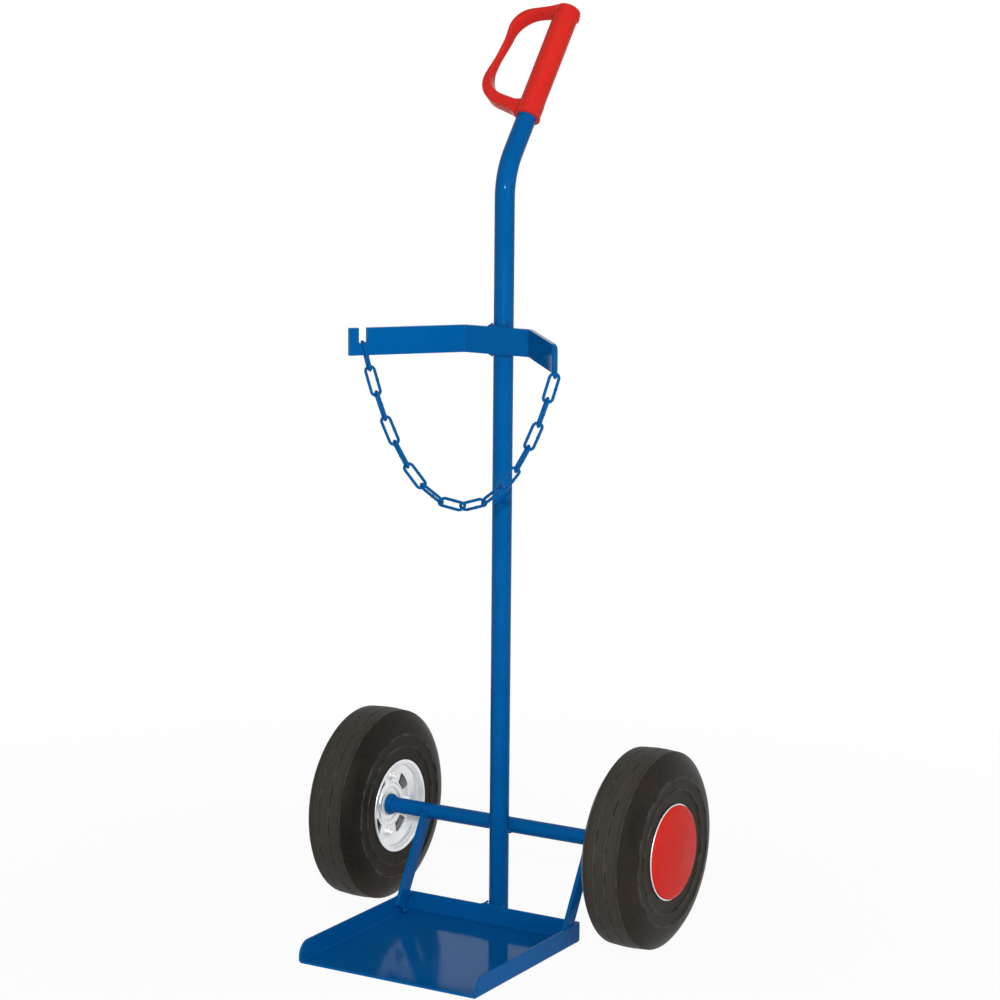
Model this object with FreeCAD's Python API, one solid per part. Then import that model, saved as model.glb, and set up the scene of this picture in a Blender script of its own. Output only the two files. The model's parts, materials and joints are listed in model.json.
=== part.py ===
import FreeCAD, Part
import math
import os

V = FreeCAD.Vector

# A single-cylinder gas trolley: a bent mast tube on a folded toe tray, a forked cradle with a
# safety chain, two solid-rubber wheels on a cross axle, and a moulded guard grip.
# The origin is the centre of the tray's underside, +Z is up, and the load side faces -Y.

# Toe tray, folded from one sheet
tray_width = 254.0
tray_depth = 254.0
tray_sheet = 3.0
tray_flange_height = 26.0
tray_bend_radius = 4.0
tray_front_corner_radius = 18.0
tray_corner_radius = 2.0

# Mast tube
mast_diameter = 25.0
mast_wall = 2.0
mast_foot_height = 4.0
mast_lean = 38.3
mast_bend_radius = 90.0
mast_bend_height = 955.0
mast_end_along_grip = 240.0

# Grip, measured along the leaning tube from the point where its two straight lines cross
grip_fit_clearance = 0.05
grip_wall = 2.95
grip_start = 83.5
grip_collar_length = 20.5
grip_collar_step = 0.6
grip_foot_lip = 1.5
grip_foot_height = 2.5
grip_cap_start = 239.0
grip_cap_rim_length = 9.5
grip_cap_lip = 1.9
grip_cap_taper = 0.9
grip_cap_dome = 4.5

# Knuckle guard: its reach from the grip's axis and its heights along the grip
guard_top = 252.0
guard_top_fall = 11.0
guard_top_thickness = 9.2
guard_upper_reach = 71.3
guard_upper_radius = 29.0
guard_side_thickness = 5.6
guard_shoulder_thickness = 5.0
guard_waist_height = 199.0
guard_waist_radius = 60.0
guard_lower_reach = 84.7
guard_lower_radius = 43.0
guard_lower_thickness = 8.6
guard_knuckle_thickness = 9.5
guard_bottom = 86.0
guard_bottom_rise = 27.8
guard_bottom_thickness = 14.7
guard_root_depth = 20.0
guard_corner_depth = 18.5
guard_waist_depth = 10.4
guard_edge_radius = 2.4

# Cradle, a flat bar bent to a fork
cradle_top = 767.0
cradle_bar_height = 34.0
cradle_bar_thickness = 5.0
cradle_half_width = 45.7
cradle_wing_length = 149.8
cradle_wing_angle = 49.5
cradle_bend_radius = 5.0
chain_slot_width = 10.2
chain_slot_depth = 20.5
chain_slot_from_end = 17.6

# Chain
chain_wire = 3.8
chain_inner_length = 33.0
chain_outer_width = 15.2
chain_hanging_links = 14
chain_gap = 0.3
chain_swing_gap = 0.9
hooked_link_lean = 15.0

# Axle, its stop rings and its outer fasteners
axle_diameter = 20.0
axle_end_beyond_hub = 7.5
stop_ring_diameter = 27.0
stop_ring_width = 5.0
washer_diameter = 28.0
washer_thickness = 1.5
retainer_thickness = 1.2
retainer_depth = 1.2
retainer_reach = 4.0
side_play = 0.3

# Struts from the tray to the axle
strut_depth = 20.0
strut_thickness = 5.0
strut_lean = 30.5
strut_foot_rise = 3.6
strut_top_setback = 5.0

# Wheels
wheel_diameter = 250.0
wheel_track = 400.0
tread_half_width = 23.0
tread_crown = 1.2
tread_groove_width = 1.6
tread_groove_depth = 2.4
tread_groove_from_middle = 7.6
sidewall_half_width = 36.5
sidewall_top_radius = 94.6
sidewall_ring_height = 0.8
sidewall_ring_radii = (78.0, 93.0)
sidewall_ring_width = 1.2
rim_inner_radius = 56.0
rim_sheet = 2.0
rim_lip_height = 4.6
rim_half_width = 37.4
disc_sheet = 2.0
disc_web_offset = 19.4
disc_seat_length = 6.0
disc_seat_setback = 1.0
disc_shoulder_drop = 7.5
disc_shoulder_offset = 1.6
disc_collar_width = 4.5
disc_collar_sink = 2.0
disc_ring_width = 3.0
disc_ring_height = 2.2
disc_ring_slope = 2.0
hub_outer_radius = 17.0
hub_half_length = 19.0
bush_wall = 3.9
bush_flange_thickness = 1.2
bush_flange_radius = 15.6
bush_length = 15.0
running_clearance = 0.06
press_clearance = 0.02
window_count = 4
window_inner_radius = 31.0
window_outer_radius = 45.0
window_angle = 34.0
bolt_diameter = 6.0
bolt_circle_radius = 37.0
bolt_head_width = 10.0
bolt_head_height = 4.0
bolt_hole_clearance = 0.2
pad_radius = 8.0
pad_height = 1.0
window_corner_radius = 2.0
wheel_rest_turn = -36.5

# Red hub cap
cap_flange_radius = 59.0
cap_wall = 1.8
cap_dome_height = 6.0
cap_shoulder_height = 2.5
cap_shoulder_inset = 5.0
cap_crown_radius = 12.0
cap_crown_rounding = 75.0
cap_skirt_length = 4.0
cap_skirt_wall = 0.6

# Weld beads
weld_size = 5.0

# Worked out from the values above
tray_back = tray_depth / 2
tray_front = -tray_depth / 2
mast_radius = mast_diameter / 2
mast_y = tray_back + mast_radius
axle_radius = axle_diameter / 2
axle_y = mast_y + mast_radius + axle_radius
wheel_radius = wheel_diameter / 2
axle_z = wheel_radius
wheel_x = wheel_track / 2
wire_radius = chain_wire / 2
grip_bore_radius = mast_radius + grip_fit_clearance
grip_radius = grip_bore_radius + grip_wall
hub_end = hub_half_length + bush_flange_thickness + side_play
hub_bore_radius = axle_radius + running_clearance + bush_wall
X_AXIS = V(1, 0, 0)
Y_AXIS = V(0, 1, 0)
Z_AXIS = V(0, 0, 1)
ORIGIN = V(0, 0, 0)


def in_xz(a, b):
    """Place a profile point in the XZ plane."""
    return V(a, 0, b)


def in_xy(a, b):
    """Place a profile point in the XY plane."""
    return V(a, b, 0)


def in_yz(a, b):
    """Place a profile point in the YZ plane."""
    return V(0, a, b)


def rounded_wire(corners, place=in_xz):
    """Closed wire through (a, b, radius) corners, each rounded by its own radius."""
    points = [place(a, b) for a, b, radius in corners]
    starts = []
    ends = []
    middles = []
    count = len(corners)
    for i in range(count):
        radius = corners[i][2]
        here = points[i]
        if radius <= 0:
            starts.append(here)
            ends.append(here)
            middles.append(None)
            continue
        before = (points[i - 1] - here).normalize()
        after = (points[(i + 1) % count] - here).normalize()
        half = before.getAngle(after) / 2
        run = radius / math.tan(half)
        centre = here + (before + after).normalize() * (radius / math.sin(half))
        starts.append(here + before * run)
        ends.append(here + after * run)
        middles.append(centre + (here - centre).normalize() * radius)
    edges = []
    for i in range(count):
        if middles[i] is not None:
            edges.append(Part.Arc(starts[i], middles[i], ends[i]).toShape())
        following = starts[(i + 1) % count]
        if ends[i].distanceToPoint(following) > 1e-6:
            edges.append(Part.LineSegment(ends[i], following).toShape())
    return Part.Wire(edges)


def rounded_face(corners, place=in_xz):
    """Face bounded by a rounded wire."""
    return Part.Face(rounded_wire(corners, place))


def sheet_corners(path, thickness):
    """Outline of a sheet whose middle line runs through (a, b, radius) points."""
    sides = []
    for sign in (1, -1):
        side = []
        last = len(path) - 1
        for i, (a, b, radius) in enumerate(path):
            here = V(a, b, 0)
            into = (here - V(path[i - 1][0], path[i - 1][1], 0)) if i > 0 else None
            out = (V(path[i + 1][0], path[i + 1][1], 0) - here) if i < last else None
            into = into or out
            out = out or into
            normal_in = V(-into.y, into.x, 0).normalize()
            normal_out = V(-out.y, out.x, 0).normalize()
            middle = (normal_in + normal_out).normalize()
            shift = thickness / 2 / middle.dot(normal_in)
            turn = into.x * out.y - into.y * out.x
            grow = -sign * thickness / 2 if turn > 0 else sign * thickness / 2
            corner_radius = max(radius + grow, 0.0) if radius > 0 else 0.0
            point = here + middle * (sign * shift)
            side.append((point.x, point.y, corner_radius))
        sides.append(side)
    return sides[0] + sides[1][::-1]


def turned(corners):
    """Solid of revolution about the X axis from an (x, radius) outline."""
    return rounded_face(corners).revolve(ORIGIN, X_AXIS, 360)


def ring(inner, outer, start, end):
    """Plain ring about the X axis between two positions."""
    body = Part.makeCylinder(outer, end - start, V(start, 0, 0), X_AXIS)
    return body.cut(Part.makeCylinder(inner, end - start + 2, V(start - 1, 0, 0), X_AXIS))


def joined(shapes):
    """Fuse shapes to one solid without seams between them."""
    result = shapes[0]
    for shape in shapes[1:]:
        result = result.fuse(shape)
    return result.removeSplitter()


def axes_placement(base, x_dir, z_dir):
    """Placement whose local X and Z lie along the given directions."""
    y_dir = z_dir.cross(x_dir).normalize()
    x_true = y_dir.cross(z_dir).normalize()
    return FreeCAD.Placement(base, FreeCAD.Rotation(x_true, y_dir, z_dir, "ZXY"))


def leaned(shape):
    """Move a shape built along Z onto the leaning top of the mast."""
    moved = shape.copy()
    moved.rotate(ORIGIN, X_AXIS, -mast_lean)
    moved.translate(V(0, mast_y, mast_bend_height))
    return moved


def mast_core(radius, foot, top):
    """Solid round bar along the mast's line, straight, bent and straight again."""
    lean = math.radians(mast_lean)
    tangent = mast_bend_radius * math.tan(lean / 2)
    bend_start = mast_bend_height - tangent
    lower = Part.makeCylinder(radius, bend_start - foot, V(0, mast_y, foot), Z_AXIS)
    section = Part.Face(Part.Wire(Part.makeCircle(radius, V(0, mast_y, bend_start), Z_AXIS)))
    bend = section.revolve(V(0, mast_y + mast_bend_radius, bend_start), X_AXIS, -mast_lean)
    upper = leaned(Part.makeCylinder(radius, top - tangent, V(0, 0, tangent), Z_AXIS))
    return joined([lower, bend, upper])


def mast_tube():
    """Bent steel tube from the tray's back flange to inside the grip."""
    outer = mast_core(mast_radius, mast_foot_height, mast_end_along_grip)
    inner = mast_core(mast_radius - mast_wall, mast_foot_height - 1, mast_end_along_grip + 1)
    return outer.cut(inner)


def edges_along(shape, direction, test):
    """Straight edges parallel to a direction whose middle passes a test."""
    found = []
    for edge in shape.Edges:
        if len(edge.Vertexes) != 2:
            continue
        line = edge.Vertexes[1].Point - edge.Vertexes[0].Point
        if line.Length > 1e-6 and abs(line.normalize().dot(direction)) > 0.999:
            if test(edge.CenterOfMass):
                found.append(edge)
    return found


def upright_weld(x_side, y_face, y_sign, z_low, z_high):
    """Fillet bead in the groove between the mast and a flat face that it touches."""
    reach = mast_radius * 0.75
    rise = mast_radius * 0.34
    near = 1.2
    face = rounded_face([
        (x_side * near, y_face, 0),
        (x_side * reach, y_face, 0),
        (x_side * reach, y_face + y_sign * rise * 0.45, 0),
        (x_side * reach * 0.8, y_face + y_sign * rise, 0),
        (x_side * near, y_face + y_sign * rise, 0),
    ], in_xy)
    bead = face.extrude(V(0, 0, z_high - z_low))
    bead.translate(V(0, 0, z_low))
    core = Part.makeCylinder(mast_radius, z_high - z_low + 2, V(0, mast_y, z_low - 1), Z_AXIS)
    return bead.cut(core)


def toe_tray():
    """Folded tray with side and back flanges, open at the front."""
    half = tray_width / 2
    outer = Part.makeBox(tray_width, tray_depth, tray_flange_height, V(-half, tray_front, 0))
    bends = edges_along(outer, Y_AXIS, lambda c: c.z < 1)
    bends += edges_along(outer, X_AXIS, lambda c: c.z < 1 and c.y > 0)
    outer = outer.makeFillet(tray_bend_radius, bends)
    seams = edges_along(outer, Z_AXIS, lambda c: c.y > 0)
    outer = outer.makeFillet(tray_corner_radius, seams)
    inner_width = tray_width - 2 * tray_sheet
    inner = Part.makeBox(inner_width, tray_depth, tray_flange_height,
                         V(-inner_width / 2, tray_front - tray_sheet, tray_sheet))
    inner_bends = edges_along(inner, Y_AXIS, lambda c: c.z < tray_sheet + 1)
    inner_bends += edges_along(inner, X_AXIS, lambda c: c.z < tray_sheet + 1 and c.y > 0)
    inner = inner.makeFillet(tray_bend_radius - tray_sheet, inner_bends)
    tray = outer.cut(inner)
    front_corners = edges_along(tray, X_AXIS,
                                lambda c: c.y < tray_front + 1 and c.z > tray_flange_height - 1)
    tray = tray.makeFillet(tray_front_corner_radius, front_corners)
    beads = [upright_weld(side, tray_back, 1, tray_bend_radius, tray_flange_height)
             for side in (-1, 1)]
    return joined([tray] + beads)


def cradle_plan():
    """Middle line of the cradle bar in plan: end, fold, fold, end."""
    angle = math.radians(cradle_wing_angle)
    half_sheet = cradle_bar_thickness / 2
    y_middle = mast_y - mast_radius - half_sheet
    fold_x = cradle_half_width + half_sheet * math.tan(angle / 2)
    end_x = fold_x + cradle_wing_length * math.cos(angle)
    end_y = y_middle - cradle_wing_length * math.sin(angle)
    radius = cradle_bend_radius + half_sheet
    return [(-end_x, end_y, 0), (-fold_x, y_middle, radius), (fold_x, y_middle, radius),
            (end_x, end_y, 0)]


def wing_frame(side):
    """End point of a wing's middle line, its outward direction and its load-side normal."""
    angle = math.radians(cradle_wing_angle)
    plan = cradle_plan()
    end = plan[0] if side < 0 else plan[-1]
    outward = V(side * math.cos(angle), -math.sin(angle), 0)
    normal = V(-side * math.sin(angle), -math.cos(angle), 0)
    return V(end[0], end[1], 0), outward, normal


def cradle_bar():
    """Forked flat bar with the open chain slot, welded across the mast."""
    low = cradle_top - cradle_bar_height
    bar = rounded_face(sheet_corners(cradle_plan(), cradle_bar_thickness), in_xy)
    bar = bar.extrude(V(0, 0, cradle_bar_height))
    bar.translate(V(0, 0, low))
    end, outward, _ = wing_frame(-1)
    slot_base = end - outward * chain_slot_from_end
    half = chain_slot_width / 2
    slot_face = rounded_face([
        (-half, -chain_slot_depth, half * 0.999),
        (half, -chain_slot_depth, half * 0.999),
        (half, 2, 0),
        (-half, 2, 0),
    ])
    through = cradle_bar_thickness * 2
    slot = slot_face.extrude(V(0, through, 0))
    slot.translate(V(0, -through / 2, 0))
    slot.Placement = axes_placement(slot_base + V(0, 0, cradle_top), outward, Z_AXIS).multiply(
        slot.Placement)
    bar = bar.cut(slot)
    front_of_mast = mast_y - mast_radius
    beads = [upright_weld(side, front_of_mast, 1, low - 1.5, cradle_top + 1.5)
             for side in (-1, 1)]
    return joined([bar] + beads + [welded_link_bead()])


def welded_link_bead():
    """Bead that joins the last link to the right wing's end."""
    end, outward, _ = wing_frame(1)
    top = cradle_top - chain_outer_width / 2
    height = chain_inner_length * 0.5
    base = end + outward * (wire_radius * 0.3) + V(0, 0, top - height)
    bead = Part.makeCylinder(wire_radius, height, base, Z_AXIS)
    bead = bead.fuse(Part.makeSphere(wire_radius, base))
    bead = bead.fuse(Part.makeSphere(wire_radius, base + V(0, 0, height)))
    return bead.cut(chain_link(wire_radius + 0.02).transformGeometry(
        welded_link_placement().toMatrix()))


def chain_link(radius=None):
    """One long link, its length along Z and its plane XZ, centred on the origin."""
    wire = radius or wire_radius
    bend = chain_outer_width / 2 - wire_radius
    half = chain_inner_length / 2 + wire_radius - bend
    pieces = []
    for side in (-1, 1):
        pieces.append(Part.makeCylinder(wire, 2 * half, V(side * bend, 0, -half), Z_AXIS))
        start = V(side * bend, 0, side * half)
        section = Part.Face(Part.Wire(Part.makeCircle(wire, start, Z_AXIS)))
        pieces.append(section.revolve(V(0, 0, side * half), Y_AXIS, -180))
    return joined(pieces)


def welded_link_placement():
    """Place of the last link, in line with the right wing and flush with its top."""
    end, outward, _ = wing_frame(1)
    centre_z = cradle_top - chain_inner_length / 2 - chain_wire
    centre = end + outward * (chain_outer_width / 2) + V(0, 0, centre_z)
    return axes_placement(centre, outward, Z_AXIS)


def hooked_link_placement():
    """Place of the first link, astride the left wing, its crown in the slot and its foot inward."""
    end, outward, normal = wing_frame(-1)
    crown_radius = chain_outer_width / 2 - chain_wire
    half_bar = cradle_bar_thickness / 2
    seat = crown_radius - math.sqrt(crown_radius ** 2 - half_bar ** 2)
    crown = cradle_top - chain_slot_depth + seat + wire_radius + chain_gap
    lean = math.radians(hooked_link_lean)
    rise = outward * math.sin(lean) + Z_AXIS * math.cos(lean)
    centre = end - outward * chain_slot_from_end + V(0, 0, crown)
    centre -= rise * (chain_inner_length / 2 + wire_radius)
    return axes_placement(centre, normal, rise)


def lower_inner_crown(placement):
    """Point halfway in the gap between a hanging link and the next one below it."""
    drop = (chain_inner_length - chain_swing_gap) / 2
    return placement.multVec(V(0, 0, -drop))


def joint_gaps():
    """Gap at each joint of the hanging links, wider at the joints that swing."""
    swinging = [chain_swing_gap] * 2
    return swinging + [chain_gap] * (chain_hanging_links - 3) + swinging


def hanging_slopes(span, rise, steps):
    """Slope angles of links that hang between two points, by nested halving."""
    count = len(steps)

    def angles(weight, offset):
        return [math.atan(weight * (i - (count - 1) / 2) + offset) for i in range(count)]

    def reach(weight, offset):
        pairs = list(zip(steps, angles(weight, offset)))
        return (sum(step * math.cos(slope) for step, slope in pairs),
                sum(step * math.sin(slope) for step, slope in pairs))

    def level(weight):
        low, high = -20.0, 20.0
        for turn in range(60):
            middle = (low + high) / 2
            if reach(weight, middle)[1] < rise:
                low = middle
            else:
                high = middle
        return low

    light, heavy = 0.001, 5.0
    for turn in range(60):
        middle = (light + heavy) / 2
        if reach(middle, level(middle))[0] > span:
            light = middle
        else:
            heavy = middle
    return angles(light, level(light))


def hanging_run():
    """Joint points of the hanging links, the slope of each link and their level direction."""
    first = lower_inner_crown(hooked_link_placement())
    last = lower_inner_crown(welded_link_placement())
    flat = V(last.x - first.x, last.y - first.y, 0)
    span = flat.Length
    along = flat.normalize()
    gaps = joint_gaps()
    steps = [chain_inner_length - (before + after) / 2 for before, after in zip(gaps, gaps[1:])]
    slopes = hanging_slopes(span, last.z - first.z, steps)
    points = [first]
    for step, slope in zip(steps, slopes):
        direction = along * math.cos(slope) + Z_AXIS * math.sin(slope)
        points.append(points[-1] + direction * step)
    return points, slopes, along


def hanging_links():
    """Links between the hooked one and the welded one, each turned against the last."""
    points, slopes, along = hanging_run()
    across = Z_AXIS.cross(along)
    gaps = joint_gaps()

    def roll_of(vector, slope):
        normal = along * -math.sin(slope) + Z_AXIS * math.cos(slope)
        return math.atan2(vector.dot(normal), vector.dot(across))

    first_roll = roll_of(wing_frame(-1)[2], slopes[0])
    last_roll = roll_of(wing_frame(1)[1], slopes[-1])
    quarters = chain_hanging_links - 1
    spare = last_roll - first_roll - quarters * math.pi / 2
    spare -= math.pi * round(spare / math.pi)
    turn = math.pi / 2 + spare / quarters
    links = []
    for i, slope in enumerate(slopes):
        direction = along * math.cos(slope) + Z_AXIS * math.sin(slope)
        normal = along * -math.sin(slope) + Z_AXIS * math.cos(slope)
        roll = first_roll + i * turn
        face = across * math.cos(roll) + normal * math.sin(roll)
        centre = points[i] + direction * ((chain_inner_length - gaps[i]) / 2)
        link = chain_link()
        link.Placement = axes_placement(centre, face.cross(direction), direction)
        links.append(link)
    return links


def knuckle_guard():
    """D-shaped strap: its loop seen square on, crossed with its waisted depth seen edge on."""
    root = grip_radius / 2
    upper = guard_top - guard_top_fall
    lower = guard_bottom + guard_bottom_rise
    outside = [
        (-root, guard_top, 0),
        (-guard_upper_reach, upper, guard_upper_radius),
        (-guard_upper_reach, guard_waist_height, guard_waist_radius),
        (-guard_lower_reach, lower, guard_lower_radius),
        (-root, guard_bottom, 0),
    ]
    inner_reach = guard_upper_reach - guard_side_thickness
    inside = [
        (-root, guard_bottom + guard_bottom_thickness, 0),
        (guard_lower_thickness - guard_lower_reach, lower + guard_knuckle_thickness,
         guard_lower_radius),
        (-inner_reach, guard_waist_height, guard_waist_radius),
        (-inner_reach, upper - guard_shoulder_thickness, guard_upper_radius + guard_edge_radius),
        (-root, guard_top - guard_top_thickness, 0),
    ]
    loop = rounded_face(outside + inside)
    width = 2 * guard_root_depth
    loop = loop.extrude(V(0, width, 0))
    loop.translate(V(0, -width / 2, 0))
    middle = (guard_top + guard_bottom) / 2
    reach = (guard_top - guard_bottom) / 2
    rising = [
        (guard_root_depth / 2, guard_bottom - 2 * guard_edge_radius, 0),
        (guard_root_depth / 2, guard_bottom + reach * 0.25, 40),
        (guard_corner_depth / 2, guard_bottom + reach * 0.5, 40),
        (guard_waist_depth / 2, middle + guard_edge_radius, 90),
        (guard_corner_depth / 2, guard_top - reach * 0.4, 40),
        (guard_root_depth / 2, guard_top - reach * 0.15, 40),
        (guard_root_depth / 2, guard_top + 2 * guard_edge_radius, 0),
    ]
    side = rising + [(-a, b, radius) for a, b, radius in reversed(rising)]
    waist = rounded_face(side, in_yz).extrude(V(-2 * guard_lower_reach, 0, 0))
    guard = loop.common(waist)
    round_edges = [edge for edge in guard.Edges
                   if edge.BoundBox.XLength > 0.01 or edge.BoundBox.XMax < -root - 0.5]
    return guard.makeFillet(guard_edge_radius, round_edges)


def hand_grip():
    """Moulded grip: sleeve, collar with a lipped foot, shallow end cap and the knuckle guard."""
    collar_radius = grip_radius + grip_collar_step
    collar_end = grip_start + grip_collar_length
    foot_radius = grip_radius + grip_foot_lip
    foot_end = grip_start + grip_foot_height
    cap_radius = grip_radius + grip_cap_lip
    rim_end = grip_cap_start + grip_cap_rim_length
    rim_radius = cap_radius - grip_cap_taper
    top = rim_end + grip_cap_dome
    body = rounded_face([
        (0, grip_start, 0),
        (foot_radius, grip_start, 0.9),
        (foot_radius, foot_end, 0.9),
        (collar_radius, foot_end + grip_foot_lip, 2),
        (collar_radius, collar_end, 0.5),
        (grip_radius, collar_end + grip_collar_step, 0.5),
        (grip_radius, grip_cap_start, 0),
        (cap_radius, grip_cap_start, 0.7),
        (rim_radius, rim_end, 3.5),
        (rim_radius * 0.5, top, 9),
        (0, top, 0),
    ]).revolve(ORIGIN, Z_AXIS, 360)
    body = joined([body, knuckle_guard()])
    bore_end = mast_end_along_grip + grip_fit_clearance
    bore = Part.makeCylinder(grip_bore_radius, bore_end, ORIGIN, Z_AXIS)
    return leaned(body.cut(bore))


def axle_rod():
    """Cross axle with the ring grooves near its ends and its welds to the mast."""
    half = wheel_x + hub_end + axle_end_beyond_hub
    chamfer = 1.0
    rod = turned([(-half, 0, 0), (-half, axle_radius - chamfer, 0), (-half + chamfer, axle_radius, 0),
                  (half - chamfer, axle_radius, 0), (half, axle_radius - chamfer, 0), (half, 0, 0)])
    for side in (-1, 1):
        start = retainer_start()
        groove = ring(axle_radius - retainer_depth, axle_radius + 2, start, start
                      + retainer_thickness + 0.1)
        groove.rotate(ORIGIN, Z_AXIS, 0 if side > 0 else 180)
        groove.translate(V(side * wheel_x, 0, 0))
        rod = rod.cut(groove)
    rod.translate(V(0, axle_y, axle_z))
    touch_y = mast_y + mast_radius
    tube = Part.makeCylinder(mast_radius, 8 * weld_size, V(0, mast_y, axle_z - 4 * weld_size), Z_AXIS)
    beads = []
    for side in (-1, 1):
        bead = Part.makeCylinder(weld_size * 0.75, 2.4 * weld_size,
                                 V(side * weld_size * 1.15, touch_y - 0.4, axle_z - 1.2 * weld_size))
        beads.append(bead.cut(tube))
    return joined([rod] + beads)


def retainer_start():
    """Axial place of the retaining ring, out from the wheel's middle plane."""
    return hub_end + washer_thickness + side_play


def axle_part(inner, outer, start, end, side):
    """Ring on the axle beside one wheel, at places measured from its middle plane."""
    part = ring(inner, outer, start, end)
    return at_wheel(part, side)


def at_wheel(shape, side):
    """Move a shape from the origin to a wheel, with +X made its outer side."""
    moved = shape.copy()
    if side < 0:
        moved.rotate(ORIGIN, Z_AXIS, 180)
    moved.translate(V(side * wheel_x, axle_y, axle_z))
    return moved


def stop_ring(side):
    """Ring welded on the axle inside the wheel."""
    inside = -(hub_end + stop_ring_width)
    return axle_part(axle_radius, stop_ring_diameter / 2, inside, -hub_end, side)


def axle_washer(side):
    """Loose flat washer outside the hub."""
    return axle_part(axle_radius + running_clearance, washer_diameter / 2, hub_end,
                     hub_end + washer_thickness, side)


def retaining_ring(side):
    """Spring ring in the axle's groove, open at one side."""
    start = retainer_start() + 0.05
    bottom = axle_radius - retainer_depth + 0.05
    body = ring(bottom, axle_radius + retainer_reach, start, start + retainer_thickness)
    gap = bottom * 1.2
    mouth = Part.makeBox(retainer_thickness + 2, gap, 2 * axle_radius, V(start - 1, -gap / 2, 0))
    return at_wheel(body.cut(mouth), side)


def strut(side):
    """Flat bar on edge from the tray's back corner up to the axle, cut round it at the top."""
    lean = math.radians(strut_lean)
    up = V(0, math.sin(lean), math.cos(lean))
    fore = V(0, -math.cos(lean), math.sin(lean))
    axle_centre = V(0, axle_y, axle_z)
    half = strut_depth / 2
    foot_height = tray_sheet + strut_foot_rise + half * math.sin(lean)
    top = axle_centre - up * strut_top_setback
    foot = axle_centre - up * ((axle_z - foot_height) / math.cos(lean))
    corners = [top - fore * half, top + fore * half, foot + fore * half, foot - fore * half]
    inner_x = tray_width / 2 - tray_sheet - strut_thickness
    bar = Part.Face(Part.makePolygon(corners + [corners[0]])).extrude(V(strut_thickness, 0, 0))
    bar.translate(V(inner_x, 0, 0))
    rod = Part.makeCylinder(axle_radius, 4 * strut_thickness,
                            V(inner_x - strut_thickness, axle_y, axle_z), X_AXIS)
    bar = bar.cut(rod)
    bead = strut_beads(inner_x, up, fore, axle_centre, rod)
    shape = joined([bar] + bead)
    if side < 0:
        shape = shape.mirror(ORIGIN, X_AXIS)
    return shape


def strut_beads(inner_x, up, fore, axle_centre, rod):
    """Weld bridges of a strut: to the back flange's top and to the front of the axle."""
    half = strut_depth / 2
    flange_inner = tray_back - tray_sheet
    low = tray_flange_height - weld_size
    high = tray_flange_height + weld_size * 0.6
    back_low = axle_centre - up * ((axle_centre.z - low) / up.z) - fore * half
    back_high = axle_centre - up * ((axle_centre.z - high) / up.z) - fore * half
    inside = 1.0
    bridge = Part.makePolygon([V(0, back_low.y - inside, low), V(0, flange_inner, low),
                               V(0, flange_inner, tray_flange_height),
                               V(0, back_high.y - inside, high + weld_size * 0.4),
                               V(0, back_low.y - inside, low)])
    web = Part.Face(bridge).extrude(V(strut_thickness, 0, 0))
    web.translate(V(inner_x, 0, 0))
    toe = axle_centre + fore * (axle_radius - 0.4) - up * (axle_radius * 0.55)
    pad = Part.makeCylinder(weld_size * 0.55, strut_thickness, V(inner_x, toe.y, toe.z), X_AXIS)
    return [web, pad.cut(rod)]


def tyre():
    """Solid rubber tyre with a three-rib tread, slanted shoulders and sidewall rings."""
    bore = rim_inner_radius + rim_sheet + press_clearance
    lip = rim_half_width - rim_sheet - 0.3
    edge_radius = wheel_radius - tread_crown
    half_groove = tread_groove_width / 2
    half = [
        (lip, bore, 0),
        (lip, rim_inner_radius + rim_lip_height + 0.8, 0.5),
        (sidewall_half_width, rim_inner_radius + rim_lip_height + 4, 3),
    ]
    for radius in sidewall_ring_radii:
        half += [
            (sidewall_half_width, radius - sidewall_ring_width, 0),
            (sidewall_half_width + sidewall_ring_height, radius - sidewall_ring_width / 3, 0),
            (sidewall_half_width + sidewall_ring_height, radius + sidewall_ring_width / 3, 0),
            (sidewall_half_width, radius + sidewall_ring_width, 0),
        ]
    half += [
        (sidewall_half_width, sidewall_top_radius, 0),
        (sidewall_half_width - 3.6, sidewall_top_radius + 17, 45),
        (tread_half_width, edge_radius, 0.5),
        (tread_groove_from_middle + half_groove, wheel_radius - tread_crown * 0.15, 0),
        (tread_groove_from_middle, wheel_radius - tread_groove_depth, 0),
        (tread_groove_from_middle - half_groove, wheel_radius, 0),
    ]
    mirrored = [(-x, r, radius) for x, r, radius in reversed(half)]
    return turned(half + mirrored)


def rim_barrel():
    """Rolled steel barrel under the tyre with a turned-out lip at each edge."""
    inner = rim_inner_radius
    outer = inner + rim_sheet
    top = inner + rim_lip_height
    face = rim_half_width
    back = face - rim_sheet
    half = [(face, inner, rim_sheet), (face, top, rim_sheet * 0.45), (back, top, rim_sheet * 0.45),
            (back, outer, 0)]
    mirrored = [(-x, r, radius) for x, r, radius in reversed(half)]
    return turned(half + mirrored)


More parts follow.
